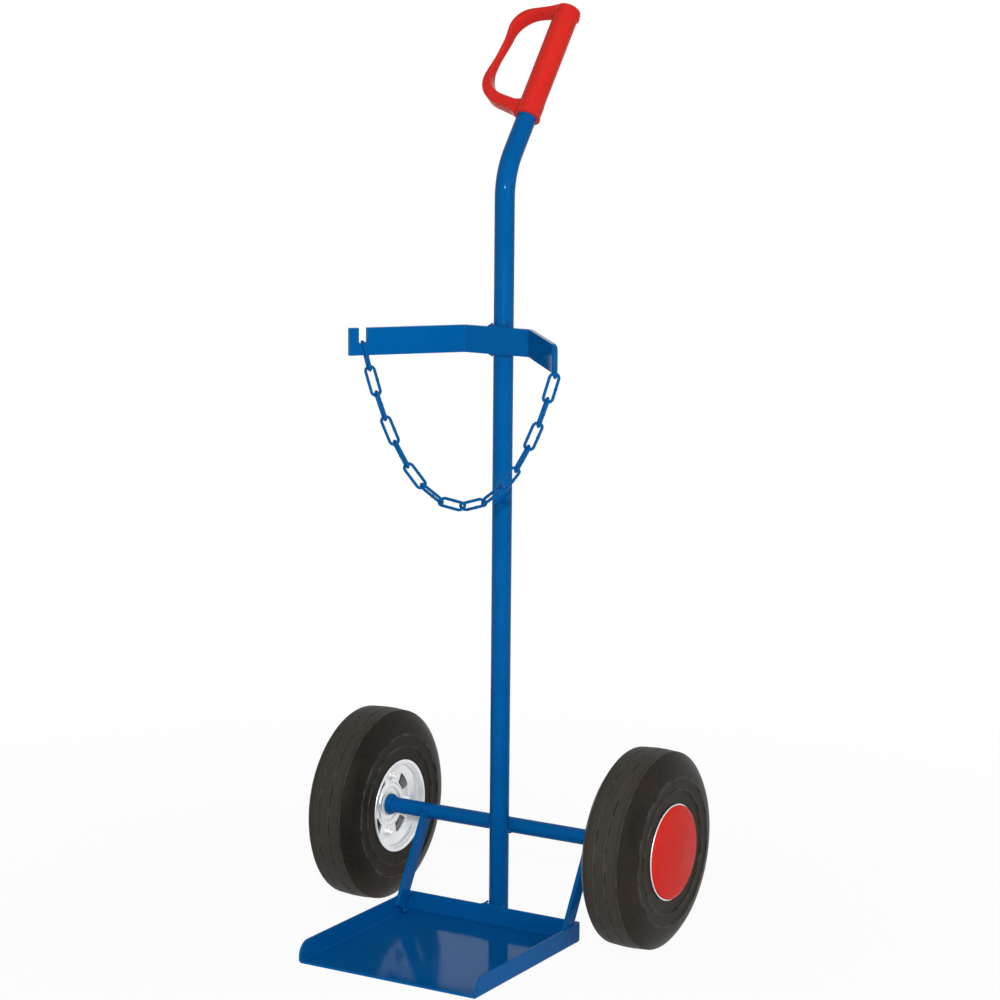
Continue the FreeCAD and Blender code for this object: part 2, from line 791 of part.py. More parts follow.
def wheel_disc(side):
    """Dished steel disc with a hub seat and raised bolt pads; only the inner one has windows."""
    seat = rim_inner_radius - press_clearance - disc_sheet / 2
    web = disc_web_offset + disc_sheet / 2
    hub = hub_outer_radius + press_clearance
    seat_end = rim_half_width - cap_skirt_length - disc_seat_setback
    ring_foot = hub_outer_radius + disc_collar_width
    ring_inner = ring_foot + disc_ring_slope
    ring_outer = ring_inner + disc_ring_width
    path = [
        (seat_end, seat, 0),
        (seat_end - disc_seat_length, seat, 2.5),
        (web + disc_shoulder_offset, seat - disc_shoulder_drop, 6),
        (web, window_outer_radius - 1, 6),
        (web, ring_outer + disc_ring_slope, 2),
        (web + disc_ring_height, ring_outer, 1.6),
        (web + disc_ring_height, ring_inner, 1.6),
        (web - disc_collar_sink, ring_foot, 1.6),
        (web - disc_collar_sink, hub, 0),
    ]
    disc = turned(sheet_corners(path, disc_sheet))
    turn = 360.0 / window_count
    cutters = []
    pads = []
    for i in range(window_count):
        bolt_turn = (i + 0.5) * turn + side * wheel_rest_turn
        if side < 0:
            window = window_tool()
            window.rotate(ORIGIN, X_AXIS, i * turn + side * wheel_rest_turn)
            cutters.append(window)
        pad = Part.makeCone(pad_radius, pad_radius - pad_height, pad_height,
                            V(web + disc_sheet / 2, 0, bolt_circle_radius), X_AXIS)
        pad.rotate(ORIGIN, X_AXIS, bolt_turn)
        pads.append(pad)
        hole = Part.makeCylinder(bolt_diameter / 2 + bolt_hole_clearance / 2, 10,
                                 V(web - 5, 0, bolt_circle_radius), X_AXIS)
        hole.rotate(ORIGIN, X_AXIS, bolt_turn)
        cutters.append(hole)
    disc = joined([disc] + pads)
    for cutter in cutters:
        disc = disc.cut(cutter)
    if side < 0:
        disc.rotate(ORIGIN, Z_AXIS, 180)
    return disc


def window_tool():
    """Cutter for one window, an arc-sided slot centred on the +Z direction."""
    half = math.radians(window_angle / 2)
    inner = window_inner_radius
    outer = window_outer_radius
    narrow = half * 0.8

    def at(radius, angle):
        return in_yz(radius * math.sin(angle), radius * math.cos(angle))

    edges = [
        Part.Arc(at(outer, -half), at(outer, 0), at(outer, half)).toShape(),
        Part.LineSegment(at(outer, half), at(inner, narrow)).toShape(),
        Part.Arc(at(inner, narrow), at(inner, 0), at(inner, -narrow)).toShape(),
        Part.LineSegment(at(inner, -narrow), at(outer, -half)).toShape(),
    ]
    tool = Part.Face(Part.Wire(edges)).extrude(V(2 * rim_half_width, 0, 0))
    upright = [edge for edge in tool.Edges if edge.Length > rim_half_width
               and len(edge.Vertexes) == 2 and abs(edge.Vertexes[0].X - edge.Vertexes[1].X) > 1]
    return tool.makeFillet(window_corner_radius, upright)


def hub_tube():
    """Steel tube that joins the two discs at the wheel's middle."""
    return ring(hub_bore_radius + press_clearance, hub_outer_radius, -hub_half_length,
                hub_half_length)


def hub_bush(side):
    """Flanged nylon bush pressed into one end of the hub."""
    bore = axle_radius + running_clearance
    start = hub_half_length - bush_length
    end = hub_half_length + bush_flange_thickness
    bush = turned([(start, bore, 0), (end, bore, 0.4), (end, bush_flange_radius, 0.4),
                   (hub_half_length, bush_flange_radius, 0), (hub_half_length, hub_bore_radius, 0),
                   (start, hub_bore_radius, 0.5)])
    if side < 0:
        bush.rotate(ORIGIN, Z_AXIS, 180)
    return bush


def hexagon(width, height, base):
    """Hexagonal prism along X, across flats width, with a turned-off corner."""
    radius = width / 2 / math.cos(math.pi / 6)
    points = [V(base, radius * math.cos(i * math.pi / 3), radius * math.sin(i * math.pi / 3))
              for i in range(7)]
    prism = Part.Face(Part.makePolygon(points)).extrude(V(height, 0, 0))
    cone = turned([(base - 1, 0, 0), (base - 1, radius + 1, 0), (base + height * 0.6, radius + 0.6, 0),
                   (base + height, width * 0.46, 0), (base + height, 0, 0)])
    return prism.common(cone)


def clamp_bolts():
    """Four bolts with nuts that draw the two discs together."""
    face = disc_web_offset + disc_sheet + pad_height
    solids = []
    for i in range(window_count):
        shank = Part.makeCylinder(bolt_diameter / 2, 2 * face + bolt_head_height + 2,
                                  V(-face - bolt_head_height - 2, 0, 0), X_AXIS)
        head = hexagon(bolt_head_width, bolt_head_height, face)
        bolt = joined([shank, head])
        nut = hexagon(bolt_head_width, bolt_head_height, face)
        nut.rotate(ORIGIN, Z_AXIS, 180)
        hole = Part.makeCylinder(bolt_diameter / 2 + press_clearance, 4 * face, V(-2 * face, 0, 0),
                                 X_AXIS)
        nut = nut.cut(hole)
        for solid in (bolt, nut):
            solid.translate(V(0, 0, bolt_circle_radius))
            solid.rotate(ORIGIN, X_AXIS, (i + 0.5) * 360.0 / window_count + wheel_rest_turn)
            solids.append(solid)
    return Part.makeCompound(solids)


def hub_cap():
    """Domed plastic cap that snaps into the barrel's outer edge."""
    face = rim_half_width + press_clearance
    skirt = rim_inner_radius - press_clearance
    edge = face + cap_wall
    crown = edge + cap_dome_height
    shoulder = edge + cap_shoulder_height
    tip = face - cap_skirt_length
    outer = [
        (face, cap_flange_radius, 0.5),
        (edge + 0.4, cap_flange_radius, 1.4),
        (shoulder, cap_flange_radius - cap_shoulder_inset, 4),
        (crown, cap_crown_radius, cap_crown_rounding),
        (crown, 0, 0),
    ]
    inner = [
        (crown - cap_wall, 0, 0),
        (crown - cap_wall, cap_crown_radius, cap_crown_rounding),
        (shoulder - cap_wall, skirt - cap_wall - 1.0, 3),
        (tip, skirt - cap_wall, 0),
        (tip, skirt - cap_skirt_wall, 0),
        (tip + 2 * cap_skirt_wall, skirt, 0),
        (face, skirt, 0),
    ]
    return turned(outer + inner)


def wheel_parts(side):
    """All pieces that turn with one wheel, as name and shape pairs."""
    name = "right" if side > 0 else "left"
    pieces = {
        "tyre_" + name: tyre(),
        "rim_barrel_" + name: rim_barrel(),
        "rim_disc_outer_" + name: wheel_disc(1),
        "rim_disc_inner_" + name: wheel_disc(-1),
        "hub_tube_" + name: hub_tube(),
        "hub_bush_outer_" + name: hub_bush(1),
        "hub_bush_inner_" + name: hub_bush(-1),
        "clamp_bolts_" + name: clamp_bolts(),
        "hub_cap_" + name: hub_cap(),
    }
    return {key: at_wheel(shape, side) for key, shape in pieces.items()}


def all_parts():
    """Every node of the trolley by name."""
    parts = {
        "mast_tube": mast_tube(),
        "toe_tray": toe_tray(),
        "cradle_bar": cradle_bar(),
        "axle_rod": axle_rod(),
        "hand_grip": hand_grip(),
    }
    for side, name in ((-1, "left"), (1, "right")):
        parts["strut_" + name] = strut(side)
        parts["stop_ring_" + name] = stop_ring(side)
        parts["axle_washer_" + name] = axle_washer(side)
        parts["retaining_ring_" + name] = retaining_ring(side)
        parts.update(wheel_parts(side))
    hooked = chain_link()
    hooked.Placement = hooked_link_placement()
    parts["chain_link_01"] = hooked
    for number, link in enumerate(hanging_links(), 2):
        parts["chain_link_%02d" % number] = link
    welded = chain_link()
    welded.Placement = welded_link_placement()
    parts["chain_link_%02d" % (chain_hanging_links + 2)] = welded
    return parts


def report_joints():
    """Print the hinge lines of the chain and the wheels' axle for the record."""
    points = hanging_run()[0]
    print("end links hinge", tuple(points[0]), tuple(points[-1]))
    print("middle links hinge", tuple(points[1]), tuple(points[-2]))
    print("wheel axle y, z", axle_y, axle_z)


os.makedirs("parts", exist_ok=True)
for part_name, part_shape in all_parts().items():
    part_shape.exportStep("parts/" + part_name + ".step")
    print(part_name, "valid" if part_shape.isValid() else "NOT VALID", len(part_shape.Solids),
          round(part_shape.Volume, 1))
report_joints()
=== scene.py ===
"""Studio scene of an upright trolley for one gas cylinder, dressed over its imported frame."""

import json
import logging
import math
import random
from collections.abc import Callable, Iterable
from dataclasses import dataclass
from enum import Enum

import bmesh
import bpy
import numpy as np
from mathutils import Matrix, Vector

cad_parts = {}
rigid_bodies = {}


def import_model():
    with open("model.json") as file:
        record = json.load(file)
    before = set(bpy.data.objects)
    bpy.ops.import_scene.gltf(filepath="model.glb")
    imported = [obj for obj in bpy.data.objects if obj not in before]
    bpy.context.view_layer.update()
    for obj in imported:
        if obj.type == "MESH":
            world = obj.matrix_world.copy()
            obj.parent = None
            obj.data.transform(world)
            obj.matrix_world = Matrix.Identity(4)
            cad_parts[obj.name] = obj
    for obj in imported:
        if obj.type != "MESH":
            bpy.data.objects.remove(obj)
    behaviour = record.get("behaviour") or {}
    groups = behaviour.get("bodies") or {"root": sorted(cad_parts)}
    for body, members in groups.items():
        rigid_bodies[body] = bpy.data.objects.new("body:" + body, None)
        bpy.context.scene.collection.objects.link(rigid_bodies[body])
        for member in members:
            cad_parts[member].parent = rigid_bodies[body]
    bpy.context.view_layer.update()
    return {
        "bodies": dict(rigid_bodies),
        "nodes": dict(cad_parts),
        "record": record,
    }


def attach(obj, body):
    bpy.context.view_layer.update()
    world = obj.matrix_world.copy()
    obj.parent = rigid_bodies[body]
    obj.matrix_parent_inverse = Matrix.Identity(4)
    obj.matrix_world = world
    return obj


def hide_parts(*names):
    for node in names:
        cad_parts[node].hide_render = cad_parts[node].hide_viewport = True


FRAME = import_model()
LOG = logging.getLogger("trolley")
MM = 0.001
X_AXIS = Vector((1.0, 0.0, 0.0))
Y_AXIS = Vector((0.0, 1.0, 0.0))
Z_AXIS = Vector((0.0, 0.0, 1.0))
Colour = tuple[float, float, float]
Corner = tuple[float, float, float]
Point = tuple[float, float, float]
Piece = bpy.types.Object
Node = bpy.types.Node
Socket = bpy.types.NodeSocket
Feeds = dict[str | int, Socket]


class Finish(Enum):
    """Finishes of the trolley, by their slots in the record."""

    BLUE = "blue_powder_coat"
    RED = "red_moulded_plastic"
    RUBBER = "black_rubber"
    ZINC = "zinc_plated_steel"
    SPRING = "spring_steel"
    NYLON = "natural_nylon"


class Side(Enum):
    """The two sides of the trolley, seen from its load side."""

    LEFT = -1
    RIGHT = 1

    @property
    def word(self) -> str:
        """Name of the side as the frame's nodes end in it."""
        return self.name.lower()


class Pick(Enum):
    """Kinds of mesh elements that the bench selects."""

    VERT = "verts"
    EDGE = "edges"


def metres(x: float, y: float, z: float) -> Vector:
    """Point of the scene from millimetres in the row frame."""
    return Vector((x, y, z)) * MM


def behind(plane: float, points: Iterable[Point]) -> list[Point]:
    """Points of the row frame from points whose Y is measured from an upright plane."""
    return [(x, plane + y, z) for x, y, z in points]


def both_halves(half: list[Corner]) -> list[Corner]:
    """Corners of one half followed by their mirror image."""
    return half + [(-along, out, rounding) for along, out, rounding in reversed(half)]


def rounded(corners: list[Corner], closed: bool = True, step: float = 9.0) -> list[Vector]:
    """Outline through corners that are each rounded by their own radius.

    Args:
        corners: The corners as two coordinates and a radius.
        closed: Whether the last corner joins the first.
        step: Largest turn between two points of an arc, in degrees.

    Returns:
        The outline's points in the order of the corners.
    """
    points = []
    count = len(corners)
    for index, (a, b, radius) in enumerate(corners):
        here = Vector((a, b))
        is_end = not closed and index in (0, count - 1)
        if radius <= 0.0 or is_end:
            points.append(here)
            continue
        before = (Vector(corners[index - 1][:2]) - here).normalized()
        after = (Vector(corners[(index + 1) % count][:2]) - here).normalized()
        half = before.angle(after) / 2
        run = radius / math.tan(half)
        centre = here + (before + after).normalized() * (radius / math.sin(half))
        first = here + before * run - centre
        last = here + after * run - centre
        sweep = math.atan2(first.x * last.y - first.y * last.x, first.dot(last))
        steps = max(3, math.ceil(abs(sweep) / math.radians(step)))
        for turn in range(steps + 1):
            points.append(centre + Matrix.Rotation(sweep * turn / steps, 2) @ first)
    return points


class NodeDesk:
    """Adds and joins nodes in one material, world or group tree."""

    def __init__(self, tree: bpy.types.NodeTree) -> None:
        """Take the tree to work on."""
        self.tree = tree

    def add(self, kind: str, label: str, feeds: Feeds | None = None, **values: object) -> Node:
        """Add a node, set its properties and inputs, and feed it.

        Args:
            kind: Type name of the node after ShaderNode, such as TexNoise.
            label: Words shown on the node.
            feeds: Outputs of other nodes, by the input that takes each.
            values: Properties by their lower-case names, or inputs by names with _ for spaces.

        Returns:
            The new node.
        """
        node = self.tree.nodes.new("ShaderNode" + kind)
        node.label = label
        for key, value in values.items():
            if hasattr(node, key):
                setattr(node, key, value)
            else:
                node.inputs[key.replace("_", " ")].default_value = value
        for key, source in (feeds or {}).items():
            self.join(source, node.inputs[key])
        return node

    def join(self, source: Socket, target: Socket) -> None:
        """Feed an output to an input."""
        self.tree.links.new(source, target)

    def math(self, label: str, operation: str, *terms: Socket | float) -> Socket:
        """Result of a Math node on outputs and numbers.

        Args:
            label: Words shown on the node.
            operation: Name of the operation.
            terms: Outputs and numbers that it works on, in order.

        Returns:
            Output with the result.
        """
        node = self.add("Math", label, operation=operation)
        for slot, term in zip(node.inputs, terms):
            if isinstance(term, float):
                slot.default_value = term
            else:
                self.join(term, slot)
        return node.outputs[0]

    def spread(self, label: str, value: Socket, feeds: Feeds | None = None,
               **limits: float) -> Socket:
        """Result of a Map Range node on an output, with its limits set or fed."""
        return self.add("MapRange", label, {"Value": value, **(feeds or {})}, **limits).outputs[0]

    def length(self, label: str, vector: Socket) -> Socket:
        """Length of a vector."""
        return self.add("VectorMath", label, {0: vector}, operation="LENGTH").outputs["Value"]

    def effect(self, group: bpy.types.NodeTree, place: Socket, **values: float) -> Socket:
        """Result of a shared group on a place, with its inputs set.

        Args:
            group: The shared group.
            place: Output with the place.
            values: Inputs of the group, by their names with _ for spaces.

        Returns:
            Output of the group.
        """
        node = self.add("Group", group.name, {}, node_tree=group, **values)
        self.join(place, node.inputs["Vector"])
        return node.outputs[0]

    def stack(self, kind: str, base: Colour | float, layers: list[tuple[Socket, Colour | float]],
              target: Socket) -> None:
        """Lay masked values over a base value.

        Args:
            kind: RGBA for colours or FLOAT for numbers.
            base: The lowest value.
            layers: Mask and value of each layer, from the lowest.
            target: Input that takes the result.
        """
        lower, result = (6, 2) if kind == "RGBA" else (2, 0)
        below = None
        for mask, value in layers:
            node = self.add("Mix", "Layer", {0: mask}, data_type=kind)
            node.inputs[lower].default_value = base
            node.inputs[lower + 1].default_value = value
            if below:
                self.join(below, node.inputs[lower])
            below = node.outputs[result]
        self.join(below, target)


class EffectDesk(NodeDesk):
    """Desk of a shared group with a vector, float inputs and one float output."""

    def __init__(self, name: str, output: str, **inputs: float) -> None:
        """Start the group.

        Args:
            name: Name of the group.
            output: Name of its output.
            inputs: Default of each float input, by its name with _ for spaces.
        """
        super().__init__(bpy.data.node_groups.new(name, "ShaderNodeTree"))
        sockets = self.tree.interface
        sockets.new_socket("Vector", in_out="INPUT", socket_type="NodeSocketVector")
        for key, value in inputs.items():
            socket = sockets.new_socket(key.replace("_", " "), in_out="INPUT",
                                        socket_type="NodeSocketFloat")
            socket.default_value = value
        sockets.new_socket(output, in_out="OUTPUT", socket_type="NodeSocketFloat")
        self.given = self.tree.nodes.new("NodeGroupInput").outputs
        self.result = self.tree.nodes.new("NodeGroupOutput").inputs[output]

    def finished(self, value: Socket) -> bpy.types.NodeTree:
        """Put a value out and return the group."""
        self.join(value, self.result)
        return self.tree

    def in_amount(self, label: str, first: Socket, second: Socket) -> bpy.types.NodeTree:
        """Put out the product of two masks and the group's amount."""
        both = self.math(label, "MULTIPLY", first, second)
        return self.finished(self.math("Amount", "MULTIPLY", both, self.given["Amount"]))

    def noise(self, label: str, scale: str, detail: float, roughness: float,
              **values: float) -> Socket:
        """Noise on the group's vector, at the scale that an input gives.

        Args:
            label: Words shown on the node.
            scale: Name of the group's input that gives the scale.
            detail: Number of finer layers.
            roughness: Strength of the finer layers.
            values: Other inputs of the node.

        Returns:
            Output with the noise.
        """
        feeds = {"Vector": self.given["Vector"], "Scale": self.given[scale]}
        return self.add("TexNoise", label, feeds, Detail=detail, Roughness=roughness,
                        **values).outputs["Fac"]

    def from_axle(self) -> tuple[Socket, Socket]:
        """Place along the wheels' axle and distance from it.

        Returns:
            Outputs with the place and the distance.
        """
        parts = self.add("SeparateXYZ", "Place", {0: self.given["Vector"]}).outputs
        across = self.math("From the axle in Y", "SUBTRACT", parts["Y"], self.given["Axle Y"])
        above = self.math("From the axle in Z", "SUBTRACT", parts["Z"], self.given["Axle Z"])
        flat = self.add("CombineXYZ", "Seen along the axle", {"Y": across, "Z": above})
        return parts["X"], self.length("Distance from the axle", flat.outputs[0])


class SurfaceEffects:
    """Node groups that several finishes share."""

    def __init__(self) -> None:
        """Build every shared group once."""
        self.orange_peel = self._orange_peel()
        self.handling = self._handling()
        self.dust = self._dust()
        self.edges = self._edges()
        self.turned = self._turned()
        self.scuffed = self._scuffed()

    @staticmethod
    def _orange_peel() -> bpy.types.NodeTree:
        """Height of a sprayed or moulded skin: long ripples with a finer grain on them.

        Returns:
            The new group.
        """
        desk = EffectDesk("Orange peel", "Height", Ripple_Scale=180.0, Grain_Scale=900.0,
                          Grain_Share=0.3)
        ripple = desk.noise("Ripples", "Ripple Scale", 2.0, 0.4)
        grain = desk.noise("Grain", "Grain Scale", 1.0, 0.5)
        share = desk.math("Grain share", "MULTIPLY", grain, desk.given["Grain Share"])
        return desk.finished(desk.math("Sum", "ADD", ripple, share))

    @staticmethod
    def _handling() -> bpy.types.NodeTree:
        """Mask of broad dull patches left by hands and packing.

        Returns:
            The new group.
        """
        desk = EffectDesk("Handling", "Mask", Scale=14.0, Low=0.42, High=0.7)
        cloud = desk.noise("Patches", "Scale", 5.0, 0.62, Distortion=0.6)
        limits = {"From Min": desk.given["Low"], "From Max": desk.given["High"]}
        return desk.finished(desk.spread("Spread", cloud, limits))

    @staticmethod
    def _dust() -> bpy.types.NodeTree:
        """Mask of fine specks, thicker on faces turned upwards.

        Returns:
            The new group.
        """
        desk = EffectDesk("Dust", "Mask", Scale=700.0, Amount=0.35, Sides=0.2)
        specks = desk.noise("Specks", "Scale", 3.0, 0.7)
        peaks = desk.spread("Keep the peaks", specks, From_Min=0.56, From_Max=0.74)
        facing = desk.add("NewGeometry", "Facing").outputs["Normal"]
        rise = desk.add("SeparateXYZ", "Upward share", {0: facing}).outputs["Z"]
        upward = desk.spread("From the sides to the top", rise, {"To Min": desk.given["Sides"]},
                             From_Min=0.1, From_Max=0.9)
        return desk.in_amount("Specks where it lies", peaks, upward)

    @staticmethod
    def _edges() -> bpy.types.NodeTree:
        """Mask of outer edges and folds, broken up by noise, where the finishes lay a lighter
        colour: a painted highlight along the edges, partly wear.

        Returns:
            The new group.
        """
        desk = EffectDesk("Edges", "Mask", Radius=0.0012, Scale=160.0, Amount=0.5)
        soft = desk.add("Bevel", "Softened face", {"Radius": desk.given["Radius"]}, samples=4)
        hard = desk.add("NewGeometry", "Plain face")
        alike = desk.add("VectorMath", "How alike",
                         {0: soft.outputs["Normal"], 1: hard.outputs["Normal"]},
                         operation="DOT_PRODUCT")
        edge = desk.spread("Edge", alike.outputs["Value"], From_Min=0.998, From_Max=0.965)
        noise = desk.noise("Breaks", "Scale", 3.0, 0.6)
        breaks = desk.spread("Broken edge", noise, From_Min=0.38, From_Max=0.62)
        return desk.in_amount("Edge with breaks", edge, breaks)

    @staticmethod
    def _scuffed() -> bpy.types.NodeTree:
        """Mask of the running surface without its grooves, where the rubber takes a lighter colour:
        a painted sheen of light on the tread, partly scuffing from rolling.

        Returns:
            The new group.
        """
        desk = EffectDesk("Scuffed tread", "Mask", Start=0.1232, End=0.1243, Axle_Y=0.162,
                          Axle_Z=0.125)
        limits = {"From Min": desk.given["Start"], "From Max": desk.given["End"]}
        return desk.finished(desk.spread("Running surface", desk.from_axle()[1], limits))

    @staticmethod
    def _turned() -> bpy.types.NodeTree:
        """Height of fine rings round the wheels' axle, left by pressing and rolling.

        Returns:
            The new group.
        """
        desk = EffectDesk("Turned rings", "Height", Scale=900.0, Axle_Y=0.162, Axle_Z=0.125)
        along, distance = desk.from_axle()
        place = desk.add("CombineXYZ", "Ring place", {"X": distance, "Y": along})
        feeds = {"Vector": place.outputs[0], "Scale": desk.given["Scale"]}
        rings = desk.add("TexNoise", "Rings", feeds, Detail=2.0, Roughness=0.5)
        return desk.finished(rings.outputs["Fac"])


@dataclass(frozen=True)
class Recipe:
    """Shared build-up of a finish: clouded colour and roughness, a lighter tread that is painted
    sheen and scuffing, lighter edges that are painted highlight and wear, dust and relief.
    """

    name: str
    low: Colour
    high: Colour
    rough: tuple[float, float]
    cloud_scale: float = 12.0
    cloud_cut: tuple[float, float] = (0.42, 0.7)
    metallic: float = 0.0
    ior: float = 1.5
    gloss: float = 0.5
    gloss_tint: Colour = (1.0, 1.0, 1.0)
    peel: tuple[float, float, float] = (180.0, 900.0, 0.3)
    relief: tuple[float, float] = (0.1, 0.0006)
    # Lighter colour on edges and folds: painted highlight, partly wear.
    edge: Colour | None = None
    edge_values: tuple[float, float, float] = (0.0012, 160.0, 0.5)
    dust: Colour | None = None
    dust_values: tuple[float, float, float] = (700.0, 0.35, 0.2)
    dust_rough: float = 0.8
    rings: tuple[float, float] | None = None
    # Lighter colour of the running surface: painted sheen of light on the tread, partly scuffing.
    tread: Colour | None = None
    tread_rough: float = 0.55

    def make(self, effects: SurfaceEffects) -> bpy.types.Material:
        """Build the material.

        Args:
            effects: The shared node groups.

        Returns:
            The new material.
        """
        material = bpy.data.materials.new(self.name)
        material.use_nodes = True
        desk = NodeDesk(material.node_tree)
        inputs = material.node_tree.nodes["Principled BSDF"].inputs
        inputs["Metallic"].default_value = self.metallic
        inputs["IOR"].default_value = self.ior
        inputs["Specular IOR Level"].default_value = self.gloss
        inputs["Specular Tint"].default_value = (*self.gloss_tint, 1.0)
        place = desk.add("TexCoord", "Place on the object").outputs["Object"]
        low, high = self.cloud_cut
        cloud = desk.effect(effects.handling, place, Scale=self.cloud_scale, Low=low, High=high)
        colours = [(cloud, (*self.high, 1.0))]
        sheens = [(cloud, self.rough[1])]
        # Painted sheen: the running surface is laid lighter to stand for light on the tread, partly
        # scuffing.
        if self.tread:
            scuffed = desk.effect(effects.scuffed, place)
            colours.append((scuffed, (*self.tread, 1.0)))
            sheens.append((scuffed, self.tread_rough))
        # Painted highlight: edges and folds take a lighter colour that stands for light caught on
        # them, partly wear.
        if self.edge:
            radius, scale, amount = self.edge_values
            edge_highlight_and_wear = desk.effect(effects.edges, place, Radius=radius, Scale=scale, Amount=amount)
            colours.append((edge_highlight_and_wear, (*self.edge, 1.0)))
        if self.dust:
            scale, amount, sides = self.dust_values
            specks = desk.effect(effects.dust, place, Scale=scale, Amount=amount, Sides=sides)
            colours.append((specks, (*self.dust, 1.0)))
            sheens.append((specks, self.dust_rough))
        desk.stack("RGBA", (*self.low, 1.0), colours, inputs["Base Color"])
        desk.stack("FLOAT", self.rough[0], sheens, inputs["Roughness"])
        ripple, grain, share = self.peel
        height = desk.effect(effects.orange_peel, place, Ripple_Scale=ripple, Grain_Scale=grain,
                             Grain_Share=share)
        if self.rings:
            scale, share = self.rings
            turned = desk.effect(effects.turned, place, Scale=scale)
            height = desk.math("Relief sum", "ADD", height,
                               desk.math("Ring share", "MULTIPLY", turned, share))
        strength, distance = self.relief
        bump = desk.add("Bump", "Relief", {"Height": height}, Strength=strength, Distance=distance)
        desk.join(bump.outputs["Normal"], inputs["Normal"])
        return material


# Each edge colour here is lighter than its finish: a painted highlight along edges and folds,
# partly wear.
RECIPES = {
    Finish.BLUE: Recipe(
        "Blue powder coat", (0.0, 0.094, 0.31), (0.001, 0.104, 0.335), (0.08, 0.14),
        gloss=0.035, gloss_tint=(0.6, 0.8, 1.0), peel=(170.0, 1100.0, 0.2), relief=(0.03, 0.0006),
        edge=(0.005, 0.15, 0.44), edge_values=(0.0006, 140.0, 0.3),
        dust=(0.1, 0.16, 0.3), dust_values=(900.0, 0.06, 0.1)),
    Finish.RED: Recipe(
        "Red moulded plastic", (0.64, 0.024, 0.017), (0.69, 0.028, 0.019), (0.14, 0.22),
        cloud_scale=16.0, ior=1.49, gloss=0.035, gloss_tint=(1.0, 0.8, 0.75),
        peel=(110.0, 700.0, 0.3), relief=(0.04, 0.0006),
        edge=(0.74, 0.045, 0.03), edge_values=(0.0006, 90.0, 0.15),
        dust=(0.62, 0.12, 0.1), dust_values=(800.0, 0.05, 0.15)),
    Finish.RUBBER: Recipe(
        "Black rubber", (0.0125, 0.0112, 0.009), (0.026, 0.0198, 0.0132), (0.34, 0.46),
        cloud_scale=9.0, cloud_cut=(0.35, 0.75), gloss=0.07, gloss_tint=(1.0, 0.86, 0.7),
        peel=(260.0, 1800.0, 0.6),
        relief=(0.16, 0.0005), edge=(0.17, 0.172, 0.16), edge_values=(0.0013, 60.0, 0.6),
        dust=(0.16, 0.155, 0.14), dust_values=(760.0, 0.4, 0.9), rings=(500.0, 0.5),
        # Painted sheen, partly scuffing: lighter colour of the running surface.
        tread=(0.043, 0.0385, 0.032)),
    Finish.ZINC: Recipe(
        "Zinc plated steel", (0.9, 0.905, 0.91), (0.82, 0.825, 0.835), (0.3, 0.42),
        cloud_scale=34.0, cloud_cut=(0.3, 0.8), metallic=0.7, peel=(160.0, 600.0, 0.25),
        relief=(0.04, 0.0004), edge=(0.92, 0.93, 0.94), edge_values=(0.0005, 200.0, 0.3),
        dust=(0.6, 0.59, 0.57), dust_values=(1100.0, 0.02, 0.3), rings=(600.0, 0.3)),
    Finish.SPRING: Recipe(
        "Spring steel", (0.12, 0.12, 0.13), (0.2, 0.2, 0.21), (0.35, 0.5), cloud_scale=60.0,
        metallic=1.0, edge=(0.35, 0.35, 0.36), rings=(1600.0, 0.5)),
    Finish.NYLON: Recipe(
        "Natural nylon", (0.7, 0.66, 0.56), (0.76, 0.73, 0.64), (0.4, 0.5), cloud_scale=80.0,
        ior=1.53, edge=(0.82, 0.8, 0.73), rings=(1200.0, 0.4)),
}


class PaintShop:
    """Makes each finish once and gives it out."""

    def __init__(self) -> None:
        """Build the shared effects and every finish."""
        effects = SurfaceEffects()
        self.finishes = {finish: recipe.make(effects) for finish, recipe in RECIPES.items()}

    def of(self, finish: Finish) -> bpy.types.Material:
        """Material of a finish."""
        return self.finishes[finish]


